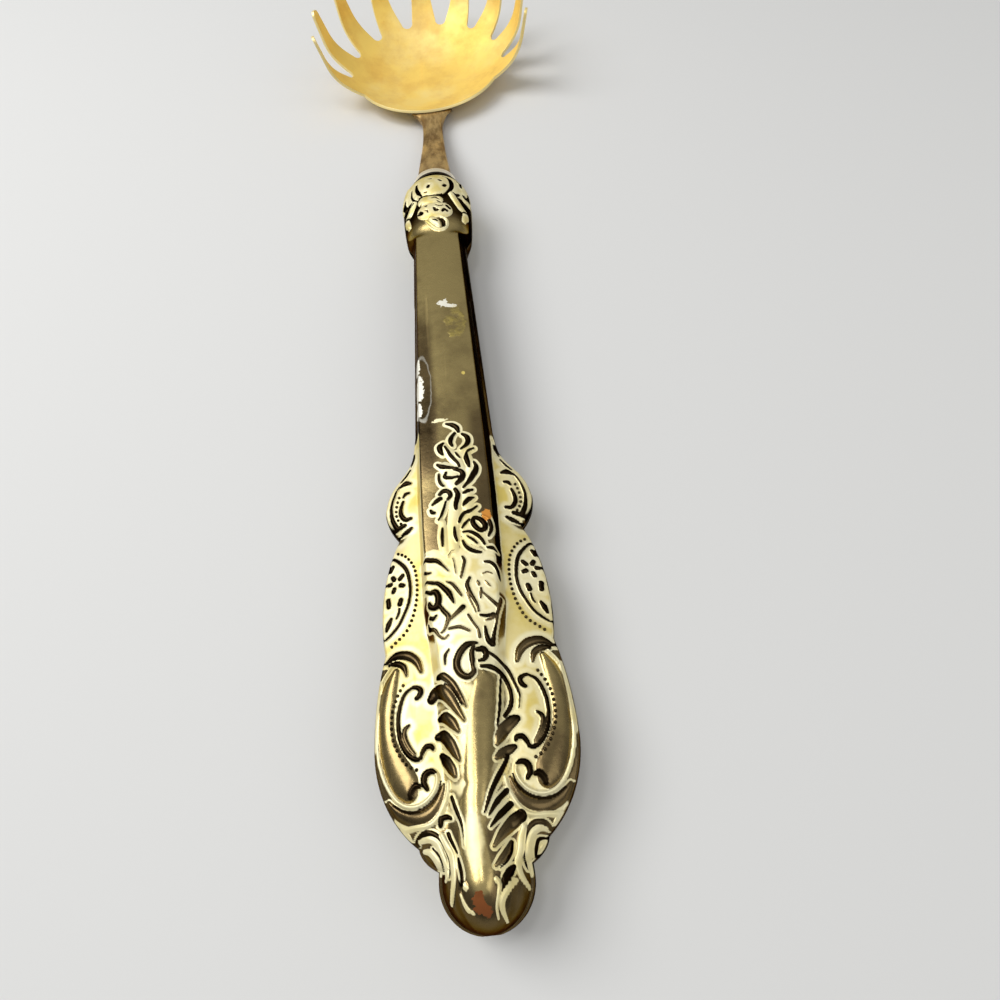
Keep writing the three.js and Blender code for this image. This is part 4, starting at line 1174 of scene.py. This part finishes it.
def chased_face(rows, half, edge_run, blend, collar):
    """The face on a grid, s, x and z, with its residue and shade."""
    u = np.linspace(-1, 1, FACE_COLUMNS)[None, :]
    s = repeated(rows, FACE_COLUMNS)
    border = smoothstep(*BORDER_FADE, np.abs(u))
    x = u * (half - edge_run)
    field = lay_ornament(s, x, FACE_TABLES)
    rib = Chasing(s, x)
    rib.stroke(*RIB)
    panel, run = [v[:, None] for v in section_at(rows)[2:4]]
    residue, shade = face_tone(s, x, field, rib, panel, run)
    z = rounded(plain_height(s, x, half), FOLD_PASSES)
    z = z + np.maximum(field.grid("rise"), rib.grid("rise")) * border * smoothstep(*TIP_FADE, s)

    # Round collar at the bowl's end
    collar_half, collar_rise = collar
    turn = u * COLLAR_TURN
    x = x + (collar_half * np.sin(turn) - x) * blend
    z = z + (collar_rise * np.cos(turn) - z) * blend
    chased = lay_ornament(s, x, COLLAR_TABLES)
    past_shaft = s > SHAFT_END
    out = chased.grid("rise") * border * past_shaft
    x = x + out * np.sin(turn) * blend
    z = z + out * (1 + (np.cos(turn) - 1) * blend)
    on_collar = smoothstep(*COLLAR_TONE, s)
    yellowed = 1 + COLLAR_YELLOW * smoothstep(*COLLAR_OPEN, chased.grid("gap"))
    residue = np.maximum(residue * (1 - on_collar), chased.grid("pale") * yellowed * past_shaft)
    shade = shade + (COLLAR_SHADE - shade) * on_collar
    shade = np.where((chased.grid("gap") < CUT_REACH) & past_shaft, chased.grid("shade"), shade)
    return (s, x, z), residue, shade


def side_edge(rows, half, edge_run, blend, collar):
    """Rounded right edge from the face down to the seam: x, z and the turn of its columns."""
    fold = np.linspace(0, 1, EDGE_COLUMNS + 1)[None, 1:]
    turn = fold * math.pi / 2
    lean = COLLAR_TURN + (COLLAR_FOOT - COLLAR_TURN) * fold
    collar_half, collar_rise = collar
    top = plain_height(rows[:, None], half - edge_run, half)
    foot = np.minimum(EDGE_FOOT, top * FOOT_SHARE)
    x = half - edge_run + edge_run * np.sin(turn)
    z = foot + (top - foot) * np.cos(turn)
    x = x + (collar_half * np.sin(lean) - x) * blend
    z = z + (collar_rise * np.cos(lean) - z) * blend
    return x, np.maximum(z, SEAM / 2 + EDGE_CLEAR), turn


def hollow(rows, half, seam_x, blend, collar):
    """Plain inside, a wall's thickness below the form: x, z and its reach to either side."""
    collar_half, collar_rise = collar
    reach = np.maximum(seam_x - HOLLOW_INSET, seam_x * HOLLOW_SHARE)
    x = np.linspace(1, -1, INNER_COLUMNS)[None, :] * reach
    flat = plain_height(repeated(rows, INNER_COLUMNS), x, half) - WALL
    roundness = 1 - (x / np.maximum(collar_half, TINY)) ** 2
    bell = collar_rise * np.sqrt(np.maximum(BELL_LEAST, roundness)) - WALL
    z = np.maximum(SEAM / 2, flat * (1 - blend) + bell * blend)
    beside = np.pad(z, ((0, 0), (1, 1)), mode="edge")
    return x, np.min([beside[:, :-2], z, beside[:, 2:]], axis=0), reach


def stamping():
    """One half of the handle: points ring by ring, their residue and shade, the face and the hollow."""
    rows = row_places()
    half = outline_half(rows)[:, None]
    edge_run = np.minimum(EDGE_RUN, half * EDGE_SHARE)
    blend = smoothstep(*COLLAR_BLEND, rows)[:, None]
    collar = [v[:, None] for v in collar_size(rows)]
    face, residue, shade = chased_face(rows, half, edge_run, blend, collar)
    edge_x, edge_z, turn = side_edge(rows, half, edge_run, blend, collar)
    seam_x = edge_x[:, -1:]
    inner_x, inner_z, reach = hollow(rows, half, seam_x, blend, collar)

    # Tones run out down the side edges
    fade = np.cos(turn) ** 2
    dark_foot = FOOT_SHADE * np.sin(turn) * smoothstep(SHAFT_END, SHAFT_START, rows)[:, None]
    right_residue, left_residue = residue[:, -1:] * fade, residue[:, :1] * fade
    right_shade, left_shade = [np.maximum(v, dark_foot) for v in (shade[:, -1:], shade[:, :1])]

    # Each ring runs from the right seam over the face to the left seam and back inside
    x, z = face[1:]
    base = np.full_like(seam_x, SEAM / 2)
    clean = np.zeros_like(seam_x)
    dark = np.full_like(seam_x, FOOT_SHADE)
    bare = np.zeros((len(rows), INNER_COLUMNS + 2))
    rings_x = np.hstack([seam_x, edge_x[:, ::-1], x[:, ::-1], -edge_x, -seam_x, -reach, -inner_x, reach])
    rings_z = np.hstack([base, edge_z[:, ::-1], z[:, ::-1], edge_z, base, base, inner_z, base])
    rings_residue = np.hstack([clean, right_residue[:, ::-1], residue[:, ::-1], left_residue, clean, bare])
    rings_shade = np.hstack([dark, right_shade[:, ::-1], shade[:, ::-1], left_shade, dark, bare])
    points = np.stack([rings_x, repeated(rows, rings_x.shape[1]), rings_z], -1)
    inside = np.stack([inner_x, repeated(rows, INNER_COLUMNS), inner_z], -1)
    filled = np.flatnonzero((rows > FILLING_ENDS[0]) & (rows < FILLING_ENDS[1]))[::FILLING_SKIP]
    return points, rings_residue, rings_shade, face, inside[filled]


def place_on_handle(points, turned):
    """Handle points moved into the frame; the back half is the same stamping turned over."""
    points = np.array(points, float).reshape(-1, 3)
    if turned:
        points = points * (-1, 1, -1)
    return points + (0, HANDLE_END, SEAM_HEIGHT)


def make_shell(name, node, stamped, turned, material):
    points, residue, shade = stamped
    rings, count = points.shape[:2]
    made = new_piece(name, place_on_handle(points, turned), ring_faces(rings, count), material)
    for label, values in (("residue", residue), ("shade", shade)):
        layer = made.data.attributes.new(label, "FLOAT", "POINT")
        layer.data.foreach_set("value", values.astype(np.float32).ravel())
    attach(made, "root")
    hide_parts(node)


# Beads, set along their rows by Geometry Nodes


def bead_tree(material):
    tree = bpy.data.node_groups.new("bead_rows", "GeometryNodeTree")
    tree.interface.new_socket("Rows", in_out="INPUT", socket_type="NodeSocketGeometry")
    for label in ("Bead radius", "Bead step"):
        tree.interface.new_socket(label, in_out="INPUT", socket_type="NodeSocketFloat")
    tree.interface.new_socket("Beads", in_out="OUTPUT", socket_type="NodeSocketGeometry")
    given = tree.nodes.new("NodeGroupInput")
    put = tree.nodes.new("NodeGroupOutput")
    spread = tree.nodes.new("GeometryNodeResampleCurve")
    spread.mode = "LENGTH"
    ball = tree.nodes.new("GeometryNodeMeshIcoSphere")
    ball.inputs["Subdivisions"].default_value = 2
    seat = tree.nodes.new("GeometryNodeInstanceOnPoints")
    real = tree.nodes.new("GeometryNodeRealizeInstances")
    soft = tree.nodes.new("GeometryNodeSetShadeSmooth")
    paint = tree.nodes.new("GeometryNodeSetMaterial")
    paint.inputs["Material"].default_value = material
    link = tree.links.new
    link(given.outputs["Rows"], spread.inputs["Curve"])
    link(given.outputs["Bead step"], spread.inputs["Length"])
    link(given.outputs["Bead radius"], ball.inputs["Radius"])
    link(spread.outputs["Curve"], seat.inputs["Points"])
    link(ball.outputs["Mesh"], seat.inputs["Instance"])
    link(seat.outputs["Instances"], real.inputs["Geometry"])
    link(real.outputs["Geometry"], soft.inputs["Geometry"])
    link(soft.outputs["Geometry"], paint.inputs["Geometry"])
    link(paint.outputs["Geometry"], put.inputs["Beads"])
    return tree


def make_beads(name, surface, turned, tree):
    s, x, z = surface
    curve = bpy.data.curves.new(name, "CURVE")
    curve.dimensions = "3D"
    for row in BEAD_ROWS:
        for side in (1, -1):
            line = spline([(a, side * b) for a, b in row])
            r = np.abs(line[:, :1] - s[None, :, 0]).argmin(1)
            c = np.abs(line[:, 1:] - x[r]).argmin(1)
            on_face = np.column_stack([line[:, 1], line[:, 0], z[r, c] + BEAD_LIFT])
            points = place_on_handle(on_face, turned) * MM
            path = curve.splines.new("POLY")
            path.points.add(len(points) - 1)
            path.points.foreach_set("co", np.column_stack([points, np.ones(len(points))]).ravel())
    rows = put_in_scene(name + "_rows", curve)
    nodes = rows.modifiers.new("bead_rows", "NODES")
    nodes.node_group = tree
    sizes = {"Bead radius": BEAD_RADIUS * MM, "Bead step": BEAD_STEP * MM}
    for item in tree.interface.items_tree:
        if item.in_out == "INPUT" and item.name in sizes:
            nodes[item.identifier] = sizes[item.name]
    mesh = plain_mesh(rows)
    bpy.data.objects.remove(rows)
    bpy.data.curves.remove(curve)
    mesh.name = name
    beads = put_in_scene(name, mesh)
    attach(beads, "root")


# Bowl


def meridian(m):
    """Reach and height of the dish's inside face, at a length m from its axis."""
    low, high = math.radians(DISH_SLOPE), math.radians(TINE_SLOPE)
    dish_end = DISH_FLAT + DISH_RADIUS * low
    bend_end = dish_end + BEND_RADIUS * (high - low)
    shift = DISH_RADIUS - BEND_RADIUS
    bend_x = DISH_FLAT + shift * math.sin(low)
    bend_z = DISH_RADIUS - shift * math.cos(low)
    if m <= DISH_FLAT:
        return m, 0.0
    if m <= dish_end:
        a = (m - DISH_FLAT) / DISH_RADIUS
        return DISH_FLAT + DISH_RADIUS * math.sin(a), DISH_RADIUS * (1 - math.cos(a))
    if m <= bend_end:
        a = low + (m - dish_end) / BEND_RADIUS
        return bend_x + BEND_RADIUS * math.sin(a), bend_z - BEND_RADIUS * math.cos(a)
    rest = m - bend_end
    reach = bend_x + BEND_RADIUS * math.sin(high) + rest * math.cos(high)
    return reach, bend_z - BEND_RADIUS * math.cos(high) + rest * math.sin(high)


def meridian_length():
    low, high = math.radians(DISH_SLOPE), math.radians(TINE_SLOPE)
    return DISH_FLAT + DISH_RADIUS * low + BEND_RADIUS * (high - low) + TINE_STRAIGHT


def length_at_reach(reach):
    steps = np.linspace(0, meridian_length(), REACH_STEPS)
    return float(np.interp(reach, [meridian(m)[0] for m in steps], steps))


def on_dish(m, angle):
    reach, height = meridian(m)
    return (reach * math.sin(angle), reach * math.cos(angle), height)


def half_angle(m, free_side):
    """Half of a tine's angle at a length m; the outermost tines run straight into the rim."""
    pitch = math.radians(TINE_PITCH)
    slot = length_at_reach(SLOT_START)
    rim = length_at_reach(RIM_RADIUS)
    tip_start = meridian_length() - TINE_TIP
    reach = meridian(m)[0]
    if free_side:
        start, first = rim, meridian(rim)[0] * pitch / 2
    else:
        start, first = slot + SLOT_ROUND, meridian(slot + SLOT_ROUND)[0] * pitch / 2 - SLOT_ROUND
    if m <= (rim if free_side else slot):
        return pitch / 2
    if m <= start:
        return pitch / 2 - math.sqrt(max(0, SLOT_ROUND ** 2 - (start - m) ** 2)) / reach
    if m <= tip_start:
        share = (m - start) / (tip_start - start)
        return (first + (TINE_TIP - first) * share) / reach
    return math.sqrt(max(0, TINE_TIP ** 2 - (m - tip_start) ** 2)) / reach


def bowl_rows():
    """Lengths along the meridian at which the bowl's sheet has a row of points."""
    total = meridian_length()
    slot = length_at_reach(SLOT_START)
    tip_start = total - TINE_TIP
    quarter = np.linspace(0, math.pi / 2, SLOT_ROWS)
    rows = list(np.linspace(HUB, slot, DISH_ROWS, endpoint=False))
    rows += list(slot + SLOT_ROUND * (1 - np.cos(quarter)))
    rows += list(np.linspace(slot + SLOT_ROUND, tip_start, TINE_ROWS)[1:])
    rows += list(tip_start + TINE_TIP * np.sin(quarter[1:-1]))
    return sorted(rows + [total - TIP_CUT, length_at_reach(RIM_RADIUS)])


def bowl_patches():
    """Points and faces of the sheet's inside: a patch for each tine, one for the plain rear, and a hub."""
    rows = bowl_rows()
    rim = length_at_reach(RIM_RADIUS)
    pitch = math.radians(TINE_PITCH)
    points, faces = [], []

    def add_patch(grid):
        base = len(points)
        columns = len(grid[0])
        for row in grid:
            points.extend(row)
        for r in range(len(grid) - 1):
            for c in range(columns - 1):
                a = base + r * columns + c
                faces.append((a, a + 1, a + 1 + columns, a + columns))

    inner = [half_angle(m, False) for m in rows]
    outer = [half_angle(m, True) for m in rows]
    for n in range(-TINES_PER_SIDE, TINES_PER_SIDE + 1):
        left = outer if n == -TINES_PER_SIDE else inner
        right = outer if n == TINES_PER_SIDE else inner
        add_patch([
            [on_dish(m, n * pitch + a) for a in np.linspace(-left[r], right[r], TINE_COLUMNS + 1)]
            for r, m in enumerate(rows)
        ])
    rear = (TINES_PER_SIDE + 0.5) * pitch
    behind = np.linspace(rear, 2 * math.pi - rear, REAR_COLUMNS + 1)
    add_patch([[on_dish(m, a) for a in behind] for m in rows if m <= rim + TINY])
    spread = np.concatenate([
        np.linspace(-rear, rear, (2 * TINES_PER_SIDE + 1) * TINE_COLUMNS, endpoint=False),
        np.linspace(rear, 2 * math.pi - rear, REAR_COLUMNS, endpoint=False),
    ])
    base = len(points)
    points.extend(on_dish(HUB, a) for a in spread)
    faces.append(tuple(range(base, len(points))))
    return np.array(points) + (0, HANDLE_END + DISH_PLACE, SHEET), faces


def make_bowl(material, edge_material):
    """The pressed sheet, given its thickness and its rounded edge."""
    sheet = new_piece("bowl_sheet", *bowl_patches(), material)
    sheet.data.materials.append(edge_material)
    tidy_mesh(sheet, BOWL_MERGE_GAP)
    if np.mean([p.normal.z for p in sheet.data.polygons]) < 0:
        sheet.data.flip_normals()
    wall = sheet.modifiers.new("sheet", "SOLIDIFY")
    wall.thickness = SHEET * MM
    wall.offset = -1.0
    wall.use_even_offset = True
    wall.material_offset_rim = 1
    edge = sheet.modifiers.new("edge", "BEVEL")
    edge.width = SHEET_EDGE * MM
    edge.segments = 3
    edge.limit_method = "ANGLE"
    edge.angle_limit = math.radians(EDGE_ANGLE)
    mesh = plain_mesh(sheet)
    bpy.data.objects.remove(sheet)
    mesh.name = "pressed_bowl"
    smooth(mesh)
    made = put_in_scene("pressed_bowl", mesh)
    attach(made, "root")
    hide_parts("bowl")


# Shank and mouth collar


def squared(value):
    """A sine or cosine pushed outwards, for a section between round and square."""
    return math.copysign(abs(value) ** BAR_SQUARE, value)


def bar_ring(s, z, size):
    """A bar's rounded section at a place along the handle's line."""
    width, far_from_strokes = size[0] / 2, size[1] / 2
    angles = [2 * math.pi * k / BAR_CORNERS for k in range(BAR_CORNERS)]
    return [(width * squared(math.cos(a)), s, z + far_from_strokes * squared(math.sin(a))) for a in angles]


def underside(reach):
    """Height of the bowl's outside face above the table, at a reach from its axis."""
    if reach <= DISH_FLAT:
        return 0.0
    a = math.asin(min(1.0, (reach - DISH_FLAT) / (DISH_RADIUS + SHEET)))
    return SHEET + DISH_RADIUS - (DISH_RADIUS + SHEET) * math.cos(min(a, math.radians(DISH_SLOPE)))


def seat_height(reach, far_from_strokes):
    """Middle height of a bar of a thickness that lies under the bowl's rim."""
    return underside(reach) - PAD_GAP - far_from_strokes / 2


def between(a, b, share):
    """A size part of the way from one size to another."""
    return (a[0] + (b[0] - a[0]) * share, a[1] + (b[1] - a[1]) * share)


def make_shank(material):
    """One bar from the tang in the handle through the neck and its flare to the pad under the bowl."""
    rim = DISH_PLACE - RIM_RADIUS
    slimmest = rim - FLARE_LENGTH
    end_height = seat_height(RIM_RADIUS, NECK_END[1])
    rings = [
        bar_ring(HANDLE_LENGTH - TANG_LENGTH, SEAM_HEIGHT, [v * TANG_TIP for v in TANG]),
        bar_ring(HANDLE_LENGTH - TANG_LENGTH + TANG_TAPER, SEAM_HEIGHT, TANG),
        bar_ring(HANDLE_LENGTH - NECK_ROOT[0], SEAM_HEIGHT, TANG),
        bar_ring(HANDLE_LENGTH - NECK_ROOT[1] / 2, SEAM_HEIGHT, NECK_ROOT),
    ]
    for t in np.linspace(0, 1, NECK_RINGS):
        height = SEAM_HEIGHT + (end_height - SEAM_HEIGHT) * float(smoothstep(0, 1, t))
        size = between(NECK_ROOT, NECK_END, 1 - (1 - t) ** NECK_CURVE)
        rings.append(bar_ring(NECK_START + (slimmest - NECK_START) * t, height, size))
    for t in np.linspace(0, 1, FLARE_RINGS + 1)[1:]:
        size = between(NECK_END, NECK_FLARE, t ** FLARE_CURVE)
        rings.append(bar_ring(slimmest + FLARE_LENGTH * t, seat_height(RIM_RADIUS, size[1]), size))
    for t in np.linspace(0, 1, PAD_RINGS + 1)[1:]:
        reach = RIM_RADIUS - PAD_REACH * t
        size = between(NECK_FLARE, PAD, t)
        rings.append(bar_ring(DISH_PLACE - reach, seat_height(reach, size[1]), size))
    points = np.array(rings).reshape(-1, 3) + (0, HANDLE_END, 0)
    made = new_piece("neck_and_tang", points, ring_faces(len(rings), len(rings[0])), material)
    tidy_mesh(made)
    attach(made, "root")
    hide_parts("shank")


def make_mouth_collar(material):
    """The oval ring that closes the handle's mouth, with a crowned outside."""
    width, height = RING_SIZE
    profile = [(0.0, 0.0)]
    for a in np.linspace(-math.pi / 2, math.pi / 2, RING_ROUNDS):
        profile.append((1.0 - RING_CROWN * (1 - math.cos(a)), 0.5 + 0.5 * math.sin(a)))
    profile.append((0.0, 1.0))
    count = len(profile)
    points, faces = [], []
    for k in range(RING_SIDES):
        a = 2 * math.pi * k / RING_SIDES
        inner = np.array([RING_HOLE[0] * math.cos(a), RING_HOLE[1] * math.sin(a)])
        outer = np.array([width * math.cos(a), height * math.sin(a)])
        for share, along in profile:
            spot = inner + (outer - inner) * share
            points.append((spot[0], RING_START + RING_LENGTH * along, spot[1]))
        following = (k + 1) % RING_SIDES * count
        for i in range(count):
            j = (i + 1) % count
            faces.append((k * count + i, k * count + j, following + j, following + i))
    made = new_piece("mouth_ring", place_on_handle(points, False), faces, material)
    tidy_mesh(made)
    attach(made, "root")
    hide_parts("mouth_collar")


def make_filling(inside, material):
    """The cast filling: the hollow between the stampings, with a little slack."""
    top = inside - (0, 0, FILLING_SLACK)
    top[..., 2] = np.maximum(top[..., 2], SEAM / 2)
    rings = np.concatenate([top, top * (-1, 1, -1)], axis=1)
    made = new_piece("cast_filling", place_on_handle(rings, False), ring_faces(*rings.shape[:2]), material)
    tidy_mesh(made)
    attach(made, "root")
    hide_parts("core_fill")


plate = tarnished_plate()
*stamped, face, hollow_rings = stamping()
make_shell("chased_front", "front_shell", stamped, False, plate)
make_shell("chased_back", "back_shell", stamped, True, plate)
beads = bead_tree(bead_metal())
make_beads("front_beads", face, False, beads)
make_beads("back_beads", face, True, beads)
make_bowl(gold_wash(), worn_edge())
make_shank(worn_neck())
make_mouth_collar(pale_rim())
make_filling(hollow_rings, cast_resin())


# Floor, light and camera, with the stage's sizes in metres

FLOOR_HALF = 20.0
FLOOR_CORNERS = [(-1, -1), (1, -1), (1, 1), (-1, 1)]
FLOOR_COLOUR = (0.68, 0.68, 0.67, 1)
HORIZON = (0.3, 0.3, 0.31, 1)
ZENITH = (0.82, 0.82, 0.81, 1)
SKY_FADE = (-0.1, 0.9)
SKY_STRENGTH = 0.6
# Lamps: place, target, diameter and power in watts
LAMPS = {
    "key": ((-0.4, 0.1, 0.55), (0, 0, 0), 0.5, 3.2),
    "fill": ((0.5, -0.35, 0.5), (0, 0, 0), 0.6, 0.9),
    "overhead": ((-0.055, -0.055, 0.6), (0, -0.11, 0), 0.1, 0.3),
}
# Camera: x, s and z of its place on the handle's lines, and its three directions
CAMERA_PLACE = (10.88, 0.15, 122.52)
CAMERA_RIGHT = (0.99265, -0.09239, -0.07814)
CAMERA_UP = (0.11921, 0.85744, 0.50058)
CAMERA_FORWARD = (-0.02075, 0.50622, -0.86215)
CAMERA_LENS = 26.46
SENSOR = 36.0


def make_floor():
    mesh = bpy.data.meshes.new("floor")
    corners = [(x * FLOOR_HALF, y * FLOOR_HALF, 0) for x, y in FLOOR_CORNERS]
    mesh.from_pydata(corners, [], [tuple(range(len(corners)))])
    material, _, shader = new_material("pale_floor")
    shader.inputs["Base Color"].default_value = FLOOR_COLOUR
    shader.inputs["Roughness"].default_value = 0.9
    mesh.materials.append(material)
    floor = put_in_scene("floor", mesh)


def area_light(name, place, target, size, power):
    data = bpy.data.lights.new(name, "AREA")
    data.shape = "DISK"
    data.size = size
    data.energy = power
    light = put_in_scene(name, data)
    light.location = place
    light.rotation_euler = (Vector(target) - Vector(place)).to_track_quat("-Z", "Y").to_euler()


def make_world():
    world = bpy.data.worlds.new("studio")
    bpy.context.scene.world = world
    world.use_nodes = True
    tree = world.node_tree
    sky = tree.nodes["Background"]
    direction = tree.nodes.new("ShaderNodeTexCoord").outputs["Generated"]
    split = tree.nodes.new("ShaderNodeSeparateXYZ")
    tree.links.new(direction, split.inputs[0])
    up = ramp(tree, split.outputs["Z"], *SKY_FADE)
    tree.links.new(colour_mix(tree, up, HORIZON, ZENITH), sky.inputs["Color"])
    sky.inputs["Strength"].default_value = SKY_STRENGTH


def make_camera():
    data = bpy.data.cameras.new("camera")
    data.sensor_width = SENSOR
    data.sensor_fit = "HORIZONTAL"
    data.lens = CAMERA_LENS
    data.clip_start = 0.01
    camera = put_in_scene("camera", data)
    x, s, z = CAMERA_PLACE
    back = [-v for v in CAMERA_FORWARD]
    turn = Matrix((CAMERA_RIGHT, CAMERA_UP, back)).transposed()
    camera.matrix_world = Matrix.Translation(handle_point(s, x, z)) @ turn.to_4x4()
    bpy.context.scene.camera = camera


make_floor()
make_world()
for lamp, setting in LAMPS.items():
    area_light(lamp, *setting)
make_camera()
bpy.context.scene.view_settings.view_transform = "Standard"
